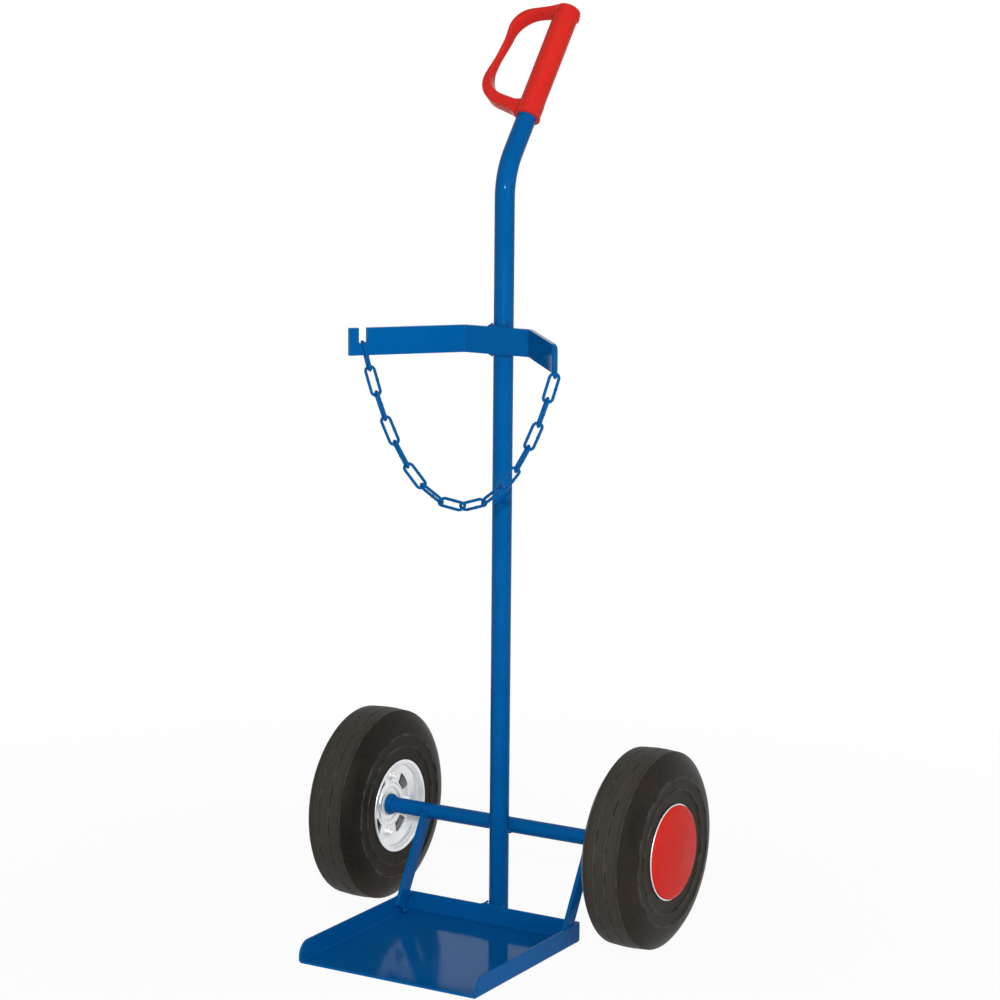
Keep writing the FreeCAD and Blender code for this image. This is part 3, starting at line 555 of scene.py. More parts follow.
class Bench:
    """Hand work on one mesh at a time."""

    def __init__(self, shop: PaintShop) -> None:
        """Take the shop that holds the finishes."""
        self.shop = shop

    @staticmethod
    def clear() -> None:
        """Deselect everything."""
        bpy.ops.object.select_all(action="DESELECT")

    @classmethod
    def take(cls, piece: Piece) -> None:
        """Select one piece alone and make it the active one.

        Args:
            piece: Piece to select.
        """
        cls.clear()
        piece.select_set(True)
        bpy.context.view_layer.objects.active = piece

    @staticmethod
    def settle() -> None:
        """Put the place, turn and scale of what is selected into its mesh."""
        bpy.ops.object.transform_apply(location=True, rotation=True, scale=True)

    @staticmethod
    def edit() -> None:
        """Open the active mesh with all of it selected."""
        bpy.ops.object.mode_set(mode="EDIT")
        bpy.ops.mesh.select_mode(type="VERT")
        bpy.ops.mesh.select_all(action="SELECT")

    @staticmethod
    def push(step: Vector) -> None:
        """Extrude what is selected by a step in metres."""
        bpy.ops.mesh.extrude_region_move(TRANSFORM_OT_translate={"value": step})

    def outline(self, name: str, points: list[Vector]) -> Piece:
        """Draw a line of edges from one vertex, in edit mode.

        Args:
            name: Name of the new piece.
            points: The line's points in metres.

        Returns:
            The piece, still in edit mode with all of it selected.
        """
        self.clear()
        bpy.ops.mesh.primitive_plane_add(size=2 * MM, location=points[0])
        piece = bpy.context.object
        piece.name = name
        self.edit()
        bpy.ops.mesh.merge(type="CENTER")
        for before, after in zip(points, points[1:]):
            self.push(after - before)
        bpy.ops.mesh.select_all(action="SELECT")
        return piece

    def ring(self, name: str, place: Vector, radius: float, points: int = 64) -> Piece:
        """Start a piece from a level ring of edges, in edit mode with all of it selected.

        Args:
            name: Name of the new piece.
            place: Middle of the ring in metres.
            radius: Radius of the ring in metres.
            points: Number of its points.

        Returns:
            The piece, still in edit mode.
        """
        self.clear()
        bpy.ops.mesh.primitive_circle_add(vertices=points, radius=radius, location=place)
        piece = bpy.context.object
        piece.name = name
        self.edit()
        return piece

    def turned(self, name: str, points: list[Vector], centre: Vector, axis: Vector,
               steps: int) -> Piece:
        """Spin a drawn outline once round an axis.

        Args:
            name: Name of the new piece.
            points: The outline's points in metres.
            centre: A point on the axis.
            axis: Direction of the axis.
            steps: Number of steps in the full turn.

        Returns:
            The closed piece.
        """
        piece = self.outline(name, points)
        bpy.ops.mesh.spin(steps=steps, angle=math.tau, center=centre, axis=axis)
        return self.close(piece)

    def plate(self, name: str, points: list[Vector], thickness: Vector) -> Piece:
        """Fill a closed outline and extrude it to a plate.

        Args:
            name: Name of the new piece.
            points: The outline's points in metres.
            thickness: Step from one face to the other, in metres.

        Returns:
            The closed piece.
        """
        piece = self.outline(name, points)
        bpy.ops.mesh.edge_face_add()
        self.push(thickness)
        return self.close(piece)

    @staticmethod
    def pick(piece: Piece, kind: Pick, test: Callable[[Vector], bool]) -> None:
        """Select the elements whose middle, in millimetres, passes a test.

        Args:
            piece: Piece in edit mode.
            kind: Kind of the elements.
            test: Test of a middle.
        """
        bpy.ops.mesh.select_mode(type=kind.name)
        bpy.ops.mesh.select_all(action="DESELECT")
        work = bmesh.from_edit_mesh(piece.data)
        for item in getattr(work, kind.value):
            corners = [item.co] if kind is Pick.VERT else [vertex.co for vertex in item.verts]
            middle = sum(corners, Vector()) / len(corners)
            if test(piece.matrix_world @ middle / MM):
                item.select_set(True)
        bmesh.update_edit_mesh(piece.data)

    @staticmethod
    def close(piece: Piece) -> Piece:
        """Weld doubles, turn the faces outwards and leave edit mode with the origin at zero.

        Args:
            piece: Piece in edit mode.

        Returns:
            The same piece.
        """
        bpy.ops.mesh.select_all(action="SELECT")
        bpy.ops.mesh.remove_doubles(threshold=1e-6)
        bpy.ops.mesh.normals_make_consistent(inside=False)
        bpy.ops.object.mode_set(mode="OBJECT")
        Bench.settle()
        return piece

    @staticmethod
    def modify(piece: Piece, kind: str, **values: object) -> None:
        """Add a modifier and apply it.

        Args:
            piece: Piece that takes the modifier.
            kind: Type of the modifier.
            values: Settings of the modifier, by their names.
        """
        Bench.take(piece)
        modifier = piece.modifiers.new(kind.title(), kind)
        for key, value in values.items():
            setattr(modifier, key, value)
        bpy.ops.object.modifier_apply(modifier=modifier.name)

    def cut(self, piece: Piece, tool: Piece) -> None:
        """Cut a tool out of a piece and throw the tool away."""
        self.modify(piece, "BOOLEAN", object=tool, operation="DIFFERENCE", solver="EXACT")
        bpy.data.objects.remove(tool)

    def soften(self, piece: Piece, width: float, segments: int = 2,
               angle: float = 40.0) -> None:
        """Round the edges that turn by more than an angle."""
        self.modify(piece, "BEVEL", width=width * MM, segments=segments, limit_method="ANGLE",
                    angle_limit=math.radians(angle), use_clamp_overlap=True)

    def smooth(self, piece: Piece, angle: float = 32.0, weighted: bool = False) -> None:
        """Shade a piece smooth, with sharp edges above an angle.

        Args:
            piece: Piece to shade.
            angle: Largest turn that is shaded smooth, in degrees.
            weighted: Whether the shading follows the larger faces.
        """
        self.take(piece)
        bpy.ops.object.shade_smooth_by_angle(angle=math.radians(angle))
        if weighted:
            self.modify(piece, "WEIGHTED_NORMAL", keep_sharp=True, weight=80)

    def placed_copy(self, piece: Piece, name: str, place: Matrix) -> Piece:
        """Copy a piece with its own mesh and move the copy.

        Args:
            piece: Piece to copy.
            name: Name of the copy.
            place: Matrix that moves the copy, in metres.

        Returns:
            The copy.
        """
        self.take(piece)
        bpy.ops.object.duplicate(linked=False)
        twin = bpy.context.object
        twin.name = name
        twin.matrix_world = place
        self.settle()
        return twin

    def joined(self, name: str, pieces: list[Piece]) -> Piece:
        """Join pieces to one object.

        Args:
            name: Name of the object.
            pieces: Pieces to join.

        Returns:
            The object.
        """
        self.take(pieces[0])
        for piece in pieces[1:]:
            piece.select_set(True)
        bpy.ops.object.join()
        whole = bpy.context.object
        whole.name = name
        return whole

    def fit(self, piece: Piece, finish: Finish, body: str, *nodes: str) -> None:
        """Give a piece its finish and its body, and hide the nodes that it stands for.

        Args:
            piece: The finished piece.
            finish: Its finish.
            body: Body of the frame that it rides on.
            nodes: Nodes of the frame that it replaces.
        """
        piece.data.materials.clear()
        piece.data.materials.append(self.shop.of(finish))
        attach(piece, body)
        if nodes:
            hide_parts(*nodes)
        LOG.info("%s: %d faces on %s", piece.name, len(piece.data.polygons), body)


@dataclass
class Weld:
    """A bead of overlapping ripples."""

    name: str
    path: list[Vector]
    size: float = 3.0
    pitch: float = 1.7
    seed: int = 1
    flatness: float = 0.62
    grain: float = 0.42
    wander: float = 0.18
    spread: tuple[float, float] = (0.93, 1.06)

    @classmethod
    def pair(cls, bench: Bench, name: str, points: list[Point | Vector],
             seed: int, **values: float) -> None:
        """Lay a bead on the right side and its mirror image on the left.

        Args:
            bench: Bench that the work is done on.
            name: Name of both beads, before the word for the side.
            points: Points of the right bead in millimetres.
            seed: Seed halfway between those of the two sides.
            values: Other sizes of the beads.
        """
        for side in Side:
            path = [Vector((side.value * x, y, z)) for x, y, z in points]
            cls(f"{name}_{side.word}", path, seed=seed + side.value, **values).make(bench)

    def spots(self) -> list[tuple[Vector, Vector]]:
        """Places of the ripples along the path, each with its direction.

        Returns:
            Place and direction of each ripple.
        """
        found = []
        for start, end in zip(self.path, self.path[1:]):
            run = end - start
            count = max(1, round(run.length / self.pitch))
            for index in range(count):
                found.append((start + run * (index / count), run.normalized()))
        found.append((self.path[-1], (self.path[-1] - self.path[-2]).normalized()))
        return found

    def make(self, bench: Bench) -> None:
        """Lay the ripples and melt them to one bead.

        Args:
            bench: Bench that the work is done on.
        """
        dice = random.Random(self.seed)
        ripples = []
        for place, along in self.spots():
            shift = Vector([dice.uniform(-self.wander, self.wander) for _ in range(3)])
            bench.clear()
            bpy.ops.mesh.primitive_ico_sphere_add(
                subdivisions=2, radius=self.size * dice.uniform(*self.spread) * MM,
                location=(place + shift) * MM)
            ripple = bpy.context.object
            ripple.rotation_euler = along.to_track_quat("Z", "Y").to_euler()
            ripple.scale = (1.0, 1.0, self.flatness)
            bench.settle()
            ripples.append(ripple)
        bead = bench.joined(self.name, ripples)
        bench.modify(bead, "REMESH", mode="VOXEL", voxel_size=self.grain * MM)
        bench.modify(bead, "SMOOTH", factor=0.5, iterations=1)
        bench.smooth(bead, angle=60.0)
        bench.fit(bead, Finish.BLUE, "frame")


@dataclass
class Axle:
    """Cross axle with its ring grooves and its two stop rings."""

    y: float = 162.0
    z: float = 125.0
    radius: float = 10.0
    half_length: float = 228.0
    chamfer: float = 1.0
    groove_start: float = 222.3
    groove_width: float = 1.3
    groove_depth: float = 1.2
    ring_radius: float = 13.5
    ring_width: float = 5.0
    ring_end: float = 179.5
    rod_round: float = 0.2
    ring_round: float = 0.9
    steps: int = 72

    @property
    def centre(self) -> Vector:
        """Middle of the axle in millimetres."""
        return Vector((0.0, self.y, self.z))

    def turned(self, bench: Bench, name: str, outline: list[Vector], steps: int,
               middle: float = 0.0) -> Piece:
        """Spin an outline of places along the axle and radii round the axle."""
        points = [metres(middle + point.x, self.y, self.z + point.y) for point in outline]
        return bench.turned(name, points, self.centre * MM, X_AXIS, steps)

    def make(self, bench: Bench) -> None:
        """Turn the rod and add the stop rings.

        Args:
            bench: Bench that the work is done on.
        """
        bottom = self.radius - self.groove_depth
        groove_end = self.groove_start + self.groove_width
        half = [
            (self.half_length, 0.0, 0.0),
            (self.half_length, self.radius - self.chamfer, self.rod_round),
            (self.half_length - self.chamfer, self.radius, self.rod_round),
            (groove_end, self.radius, 0.0),
            (groove_end, bottom, 0.0),
            (self.groove_start, bottom, 0.0),
            (self.groove_start, self.radius, 0.0),
        ]
        outline = rounded(both_halves(half), closed=False)
        rod = self.turned(bench, "cross_axle", outline, self.steps)
        bench.smooth(rod)
        bench.fit(rod, Finish.BLUE, "frame", "axle_rod")
        self._collars(bench)

    def _collars(self, bench: Bench) -> None:
        """Turn the right stop ring and copy it to the left.

        Args:
            bench: Bench that the work is done on.
        """
        half = self.ring_width / 2
        middle = self.ring_end - half
        outline = rounded([
            (-half, self.radius, 0.0),
            (-half, self.ring_radius, self.ring_round),
            (half, self.ring_radius, self.ring_round),
            (half, self.radius, 0.0),
        ])
        right = self.turned(bench, "stop_collar_right", [*outline, outline[0]], self.steps, middle)
        bench.smooth(right)
        across = Matrix.Translation(metres(-2 * middle, 0.0, 0.0))
        left = bench.placed_copy(right, "stop_collar_left", across)
        bench.fit(right, Finish.BLUE, "frame", "stop_ring_right")
        bench.fit(left, Finish.BLUE, "frame", "stop_ring_left")


@dataclass
class Wheel:
    """Tyre, rolled barrel and hub cap of both wheels, measured from a wheel's middle plane."""

    axle: Axle
    middle: float = 200.0
    radius: float = 125.0
    half_tread: float = 23.0
    crown: float = 1.2
    crown_share: float = 0.15
    groove_middle: float = 7.6
    groove_half: float = 0.85
    groove_depth: float = 2.4
    side_half: float = 36.5
    side_dish: float = 0.7
    shoulder_foot: float = 95.2
    shoulder_reach: Corner = (32.9, 111.6, 45.0)
    ring_radii: tuple[float, float] = (78.0, 93.0)
    ring_half: float = 1.1
    ring_height: float = 1.15
    barrel_inner: float = 56.0
    barrel_sheet: float = 2.0
    lip_height: float = 4.6
    lip_half: float = 37.4
    lip_gap: float = 0.3
    seat_gap: float = 0.8
    seat_reach: float = 4.0
    fit_gap: float = 0.02
    cap_radius: float = 59.0
    cap_wall: float = 1.8
    cap_dome: float = 6.0
    cap_shoulder: float = 2.5
    cap_inset: float = 5.0
    cap_crown: tuple[float, float] = (12.0, 75.0)
    cap_skirt: float = 4.0
    cap_tuck: float = 1.0
    cap_lead: tuple[float, float] = (1.2, 0.6)
    cap_step: float = 0.4
    tyre_steps: int = 180
    rim_steps: int = 144

    def make(self, bench: Bench) -> None:
        """Make each piece for the right wheel and turn a copy round for the left one.

        Args:
            bench: Bench that the work is done on.
        """
        makers = ((self._tyre, "solid_tyre", "tyre", Finish.RUBBER),
                  (self._barrel, "rolled_barrel", "rim_barrel", Finish.ZINC),
                  (self._cap, "domed_cap", "hub_cap", Finish.RED))
        across = Matrix.Translation(metres(0.0, 2 * self.axle.y, 0.0)) @ Matrix.Rotation(
            math.pi, 4, "Z")
        for maker, name, node, finish in makers:
            right = maker(bench, f"{name}_right")
            bench.smooth(right)
            left = bench.placed_copy(right, f"{name}_left", across)
            bench.fit(right, finish, "wheel_right", f"{node}_right")
            bench.fit(left, finish, "wheel_left", f"{node}_left")

    def _closed(self, bench: Bench, name: str, half: list[Corner], steps: int) -> Piece:
        """Turn an outline that is the same on both sides of the middle plane."""
        outline = rounded(both_halves(half))
        return self.axle.turned(bench, name, [*outline, outline[0]], steps, self.middle)

    def _tyre(self, bench: Bench, name: str) -> Piece:
        """Solid tyre with three ribs, slanted shoulders and two raised rings on each side.

        Args:
            bench: Bench that the work is done on.
            name: Name of the new piece.

        Returns:
            The tyre.
        """
        bore = self.barrel_inner + self.barrel_sheet + self.fit_gap
        lip = self.lip_half - self.barrel_sheet - self.lip_gap
        edge = self.radius - self.crown
        rib = self.radius - self.crown * self.crown_share
        inner_ring, outer_ring = self.ring_radii
        dished = self.side_half - self.side_dish
        half = [
            (lip, bore, 0.0),
            (lip, self.barrel_inner + self.lip_height + self.seat_gap, 0.5),
            (dished, self.barrel_inner + self.lip_height + self.seat_reach, 3.0),
        ]
        for radius, before, after in ((inner_ring, dished, self.side_half),
                                      (outer_ring, self.side_half, self.side_half)):
            top = self.side_half + self.ring_height
            half += [
                (before, radius - self.ring_half, 0.3),
                (top, radius - self.ring_half / 3, 0.25),
                (top, radius + self.ring_half / 3, 0.25),
                (after, radius + self.ring_half, 0.3),
            ]
        half += [
            (self.side_half, self.shoulder_foot, 0.5),
            self.shoulder_reach,
            (self.half_tread, edge, 0.6),
            (self.groove_middle + self.groove_half, rib, 0.3),
            (self.groove_middle, self.radius - self.groove_depth, 0.2),
            (self.groove_middle - self.groove_half, self.radius, 0.3),
        ]
        return self._closed(bench, name, half, self.tyre_steps)

    def _barrel(self, bench: Bench, name: str) -> Piece:
        """Rolled barrel with a turned-out lip at each edge.

        Args:
            bench: Bench that the work is done on.
            name: Name of the new piece.

        Returns:
            The barrel.
        """
        inner = self.barrel_inner
        top = inner + self.lip_height
        back = self.lip_half - self.barrel_sheet
        half = [(self.lip_half, inner, 1.9), (self.lip_half, top, 0.95), (back, top, 0.9),
                (back, inner + self.barrel_sheet, 0.0)]
        return self._closed(bench, name, half, self.rim_steps)

    def _cap(self, bench: Bench, name: str) -> Piece:
        """Bare domed cap with a rolled edge and a snap-in skirt.

        Args:
            bench: Bench that the work is done on.
            name: Name of the new piece.

        Returns:
            The cap.
        """
        face = self.lip_half + self.fit_gap
        skirt = self.barrel_inner - self.fit_gap
        edge = face + self.cap_wall
        crown = edge + self.cap_dome
        shoulder = edge + self.cap_shoulder
        tip = face - self.cap_skirt
        crown_radius, rounding = self.cap_crown
        lead, taper = self.cap_lead
        outline = rounded([
            (crown - self.cap_wall, 0.0, 0.0),
            (crown - self.cap_wall, crown_radius, rounding),
            (shoulder - self.cap_wall, skirt - self.cap_wall - self.cap_tuck, 3.0),
            (tip, skirt - self.cap_wall, 0.0),
            (tip, skirt - taper, 0.0),
            (tip + lead, skirt, 0.0),
            (face, skirt, 0.0),
            (face, self.cap_radius, 0.5),
            (edge + self.cap_step, self.cap_radius, 1.4),
            (shoulder, self.cap_radius - self.cap_inset, 4.0),
            (crown, crown_radius, rounding),
            (crown, 0.0, 0.0),
        ], closed=False, step=4.0)
        return self.axle.turned(bench, name, outline, self.rim_steps, self.middle)


@dataclass
class Mast:
    """Bent steel tube with its welds to the tray and the axle."""

    y: float = 139.5
    radius: float = 12.5
    wall: float = 2.0
    foot: float = 4.0
    bend_height: float = 955.0
    bend_radius: float = 90.0
    lean: float = 38.3
    reach: float = 240.0
    bend_steps: int = 28
    edge: float = 0.3
    foot_bead: tuple[Point, ...] = ((7.4, 1.6, 5.5), (7.4, 1.6, 25.0))
    axle_bead: tuple[Point, ...] = ((9.6, -1.6, 131.5), (9.6, -2.4, 125.0), (9.6, -1.6, 118.5))
    flange_bead: tuple[Point, ...] = ((-17.0, -1.6, 25.0), (-13.2, -0.8, 26.8), (0.0, -0.6, 26.0),
                                      (13.2, -0.8, 26.8), (17.0, -1.6, 25.0))
    corner_bead: tuple[Point, ...] = ((15.6, 0.4, 25.2), (13.0, 2.4, 26.7), (11.4, 4.2, 28.8))

    @property
    def along(self) -> Vector:
        """Direction of the leaning top."""
        angle = math.radians(self.lean)
        return Vector((0.0, math.sin(angle), math.cos(angle)))

    @property
    def leaning(self) -> Matrix:
        """Place of what is drawn upright on the leaning top, in metres."""
        turn = Matrix.Rotation(-math.radians(self.lean), 4, "X")
        return Matrix.Translation(metres(0.0, self.y, self.bend_height)) @ turn

    def make(self, bench: Bench) -> None:
        """Extrude, bend and extrude the tube, then add its welds.

        Args:
            bench: Bench that the work is done on.
        """
        tangent = self.bend_radius * math.tan(math.radians(self.lean) / 2)
        bend_start = self.bend_height - tangent
        tube = bench.ring("bent_mast", metres(0.0, self.y, self.foot), self.radius * MM)
        bench.push(metres(0.0, 0.0, bend_start - self.foot))
        bpy.ops.mesh.spin(steps=self.bend_steps, angle=math.radians(self.lean),
                          center=metres(0.0, self.y + self.bend_radius, bend_start), axis=X_AXIS)
        bench.push(self.along * (self.reach - tangent) * MM)
        bench.close(tube)
        bench.modify(tube, "SOLIDIFY", thickness=self.wall * MM, offset=-1.0)
        bench.soften(tube, self.edge, segments=2, angle=60.0)
        bench.smooth(tube, angle=40.0)
        bench.fit(tube, Finish.BLUE, "frame", "mast_tube")
        self._welds(bench)

    def _welds(self, bench: Bench) -> None:
        """Beads on the tray's flange and round the axle.

        Args:
            bench: Bench that the work is done on.
        """
        face = self.y - self.radius
        back = self.y + self.radius
        Weld.pair(bench, "mast_foot_weld", behind(face, self.foot_bead), 3)
        Weld.pair(bench, "axle_weld", behind(back, self.axle_bead), 7, size=2.7, pitch=1.3)
        across = [Vector(point) for point in behind(face, self.flange_bead)]
        Weld("mast_flange_weld", across, size=1.9, pitch=1.4, seed=11).make(bench)
        Weld.pair(bench, "flange_corner_weld", behind(face, self.corner_bead), 14, size=1.7,
                  pitch=1.2)


@dataclass
class Tray:
    """Toe tray folded from one sheet, open at the front."""

    width: float = 254.0
    depth: float = 254.0
    sheet: float = 3.0
    flange: float = 26.0
    fold: float = 2.5
    fold_steps: int = 8
    front_corner: float = 18.0
    corner_steps: int = 14
    edge: float = 0.55
    slack: float = 1.0
    fine_slack: float = 0.1

    def make(self, bench: Bench) -> None:
        """Fold the flanges up, round the folds and the front corners and give it its sheet.

        Args:
            bench: Bench that the work is done on.
        """
        half = self.sheet / 2
        x_edge = self.width / 2 - half
        back = self.depth / 2 - half
        front = -self.depth / 2
        bench.clear()
        bpy.ops.mesh.primitive_plane_add(size=1.0, location=metres(0.0, (back + front) / 2, half))
        tray = bpy.context.object
        tray.name = "folded_tray"
        tray.scale = (2 * x_edge * MM, (back - front) * MM, 1.0)
        bench.settle()
        bench.edit()
        inside = front + self.slack
        bench.pick(tray, Pick.EDGE, lambda middle: middle.y > inside)
        bench.push(metres(0.0, 0.0, self.flange - half))
        low = half + self.fine_slack
        high = self.flange - self.fine_slack
        bench.pick(tray, Pick.EDGE, lambda middle: middle.y > inside and (middle.z < low or (
            middle.y > back - self.slack and abs(middle.x) > x_edge - self.slack)))
        bpy.ops.mesh.bevel(offset=self.fold * MM, offset_type="OFFSET", segments=self.fold_steps,
                           affect="EDGES")
        bench.pick(tray, Pick.VERT, lambda place: place.y < inside and place.z > high)
        bpy.ops.mesh.bevel(offset=self.front_corner * MM, offset_type="OFFSET",
                           segments=self.corner_steps, affect="VERTICES")
        bench.close(tray)
        bench.modify(tray, "SOLIDIFY", thickness=self.sheet * MM, offset=0.0, use_even_offset=True)
        bench.soften(tray, self.edge, segments=3, angle=55.0)
        bench.smooth(tray, angle=35.0, weighted=True)
        bench.fit(tray, Finish.BLUE, "frame", "toe_tray")


@dataclass
class Cradle:
    """Flat bar bent to a fork, with the chain's slot and the welds to the mast."""

    top: float = 767.0
    height: float = 34.0
    sheet: float = 5.0
    half_width: float = 45.7
    wing: float = 149.8
    angle: float = 49.5
    fold: float = 7.5
    slot_width: float = 10.2
    slot_depth: float = 20.5
    slot_from_end: float = 17.6
    slot_over: float = 2.0
    slot_round: float = 0.999
    y: float = 124.5
    edge: float = 0.7
    upright_bead: tuple[float, float, float] = (7.4, 1.6, 0.5)
    cross_bead: tuple[Point, ...] = ((-11.0, -0.6, -0.2), (0.0, -0.8, -0.2), (11.0, -0.6, -0.2))
    corner_bead: tuple[Point, ...] = ((15.2, 0.4, -0.9), (12.8, 2.6, 0.7), (11.4, 4.2, 2.8))
    link_bead: tuple[float, float, float] = (0.4, 7.6, 16.0)

    @property
    def outward(self) -> Vector:
        """Direction of the left wing towards its end."""
        angle = math.radians(self.angle)
        return Vector((-math.cos(angle), -math.sin(angle), 0.0))

    def make(self, bench: Bench) -> None:
        """Bend the bar, cut the slot and weld it on.

        Args:
            bench: Bench that the work is done on.
        """
        angle = math.radians(self.angle)
        fold_x = self.half_width + self.sheet / 2 * math.tan(angle / 2)
        end_x = fold_x + self.wing * math.cos(angle)
        end_y = self.y - self.wing * math.sin(angle)
        low = self.top - self.height
        plan = rounded([(-end_x, end_y, 0.0), (-fold_x, self.y, self.fold),
                        (fold_x, self.y, self.fold), (end_x, end_y, 0.0)], closed=False, step=8.0)
        bar = bench.outline("forked_cradle", [metres(point.x, point.y, low) for point in plan])
        bench.push(metres(0.0, 0.0, self.height))
        bench.close(bar)
        bench.modify(bar, "SOLIDIFY", thickness=self.sheet * MM, offset=0.0, use_even_offset=True)
        self._slot(bench, bar, Vector((-end_x, end_y, self.top)))
        bench.soften(bar, self.edge, segments=3, angle=50.0)
        bench.smooth(bar, angle=35.0, weighted=True)
        bench.fit(bar, Finish.BLUE, "frame", "cradle_bar")
        self._welds(bench, Vector((end_x, end_y, self.top)))

    def _slot(self, bench: Bench, bar: Piece, end: Vector) -> None:
        """Cut the open slot that holds the chain.

        Args:
            bench: Bench that the work is done on.
            bar: The cradle's bar.
            end: Top of the left wing's end, in millimetres.
        """
        half = self.slot_width / 2
        bend = half * self.slot_round
        normal = self.outward.cross(Z_AXIS)
        base = end - self.outward * self.slot_from_end - normal * self.sheet
        shape = rounded([(-half, -self.slot_depth, bend), (half, -self.slot_depth, bend),
                         (half, self.slot_over, 0.0), (-half, self.slot_over, 0.0)])
        points = [(base + self.outward * point.x + Z_AXIS * point.y) * MM for point in shape]
        bench.cut(bar, bench.plate("slot_tool", points, normal * 2 * self.sheet * MM))

    def _welds(self, bench: Bench, end: Vector) -> None:
        """Beads up both sides of the mast, across it, and on the chain's last link.

        Args:
            bench: Bench that the work is done on.
            end: Top of the right wing's end, in millimetres.
        """
        face = self.y + self.sheet / 2
        low = self.top - self.height
        x, sink, over = self.upright_bead
        Weld.pair(bench, "cradle_weld", [(x, face + sink, low - over),
                                         (x, face + sink, self.top + over)], 21)
        for name, height, up, seed in (("top", self.top, 1.0, 25), ("bottom", low, -1.0, 26)):
            cross, corner = ([(x, face + y, height + up * z) for x, y, z in points]
                             for points in (self.cross_bead, self.corner_bead))
            Weld(f"cradle_{name}_weld", [Vector(point) for point in cross], size=2.3,
                 seed=seed).make(bench)
            Weld.pair(bench, f"cradle_{name}_corner", corner, round(height), size=1.7, pitch=1.2)
        outward = Vector((-self.outward.x, self.outward.y, 0.0))
        out, drop, length = self.link_bead
        base = end + outward * out - Z_AXIS * drop
        Weld("last_link_weld", [base, base - Z_AXIS * length], size=2.0, pitch=1.3,
             seed=31).make(bench)


@dataclass
class Struts:
    """Flat bars on edge from the tray's back corners up to the axle."""

    axle: Axle
    depth: float = 20.0
    sheet: float = 5.0
    lean: float = 30.5
    inner_x: float = 119.0
    foot_drop: float = 131.53
    top_setback: float = 5.0
    notch_steps: int = 12
    edge: float = 0.6
    arc_gaps: tuple[float, float] = (0.4, 0.7)
    arc_turns: tuple[int, ...] = (-28, -50, -75, -100, -125, -150)
    top_bead: tuple[float, float, float] = (2.6, 10.4, -1.6)
    back_bead: tuple[tuple[float, float], ...] = ((115.2, 24.5), (123.8, 23.6))
    side_bead: tuple[tuple[float, float], ...] = ((93.5, 26.2), (113.5, 26.2))
    foot_bead: tuple[tuple[float, float], ...] = ((101.5, 6.8), (108.5, 5.0))
    bead_gap: float = 0.6
    collar_reach: float = 11.2
    collar_turns: tuple[int, ...] = (5, 30, 55, 80, 105)

    def _at(self, x: float, fore: float, rise: float) -> Vector:
        """Point in millimetres from a place along the axle, forward of the bar and up along it.

        Args:
            x: Place along the axle.
            fore: Distance forward of the bar's middle line.
            rise: Distance up along the bar from the axle.

        Returns:
            The point.
        """
        lean = math.radians(self.lean)
        up = Vector((0.0, math.sin(lean), math.cos(lean)))
        ahead = Vector((0.0, -math.cos(lean), math.sin(lean)))
        return self.axle.centre + X_AXIS * x + ahead * fore + up * rise

    def make(self, bench: Bench) -> None:
        """Cut the right bar round the axle, copy it to the left and weld both.

        Args:
            bench: Bench that the work is done on.
        """
        half = self.depth / 2
        radius = self.axle.radius
        first = -math.asin(self.top_setback / radius)
        sweep = -math.pi - 2 * first
        turns = [first + sweep * step / self.notch_steps for step in range(self.notch_steps + 1)]
        notch = [(radius * math.cos(turn), radius * math.sin(turn)) for turn in turns]
        corners = [(-half, -self.foot_drop), (half, -self.foot_drop), (half, -self.top_setback),
                   *notch, (-half, -self.top_setback)]
        points = [self._at(self.inner_x, fore, rise) * MM for fore, rise in corners]
        right = bench.plate("side_strut_right", points, metres(self.sheet, 0.0, 0.0))
        bench.soften(right, self.edge, segments=3, angle=50.0)
        bench.smooth(right, angle=35.0, weighted=True)
        shift = Matrix.Translation(metres(-2 * self.inner_x - self.sheet, 0.0, 0.0))
        left = bench.placed_copy(right, "side_strut_left", shift)
        bench.fit(right, Finish.BLUE, "frame", "strut_right")
        bench.fit(left, Finish.BLUE, "frame", "strut_left")
        self._welds(bench)

    def _welds(self, bench: Bench) -> None:
        """Beads at the axle, at the tray's flanges, under the feet and at the stop rings.

        Args:
            bench: Bench that the work is done on.
        """
        inner = self.inner_x
        outer = inner + self.sheet
        middle = inner + self.sheet / 2
        side_gap, over = self.arc_gaps
        reach = self.axle.radius + over
        arc = [math.radians(turn) for turn in self.arc_turns]
        for name, x in (("inner", inner - side_gap), ("outer", outer + side_gap)):
            path = [self._at(x, reach * math.cos(turn), reach * math.sin(turn)) for turn in arc]
            Weld.pair(bench, f"strut_{name}_weld", path, 41, size=1.9, pitch=1.5)
        half, fore, rise = self.top_bead
        for side in Side:
            path = [self._at(side.value * middle + step, fore, rise) for step in (-half, half)]
            Weld(f"strut_top_weld_{side.word}", path, size=3.0, seed=45 + side.value).make(bench)
        for name, x, points, seed, size, pitch in (
                ("back", middle, self.back_bead, 51, 3.1, 1.7),
                ("side", outer + self.bead_gap, self.side_bead, 55, 1.7, 1.5),
                ("foot", inner - self.bead_gap, self.foot_bead, 61, 2.1, 1.5)):
            Weld.pair(bench, f"strut_{name}_weld", [(x, *point) for point in points], seed,
                      size=size, pitch=pitch)
        x = self.axle.ring_end - self.axle.ring_width - self.bead_gap
        reach = self.collar_reach
        path = [self.axle.centre + Vector((x, -reach * math.cos(turn), reach * math.sin(turn)))
                for turn in (math.radians(turn) for turn in self.collar_turns)]
        Weld.pair(bench, "collar_weld", path, 71, size=2.1, pitch=1.6)


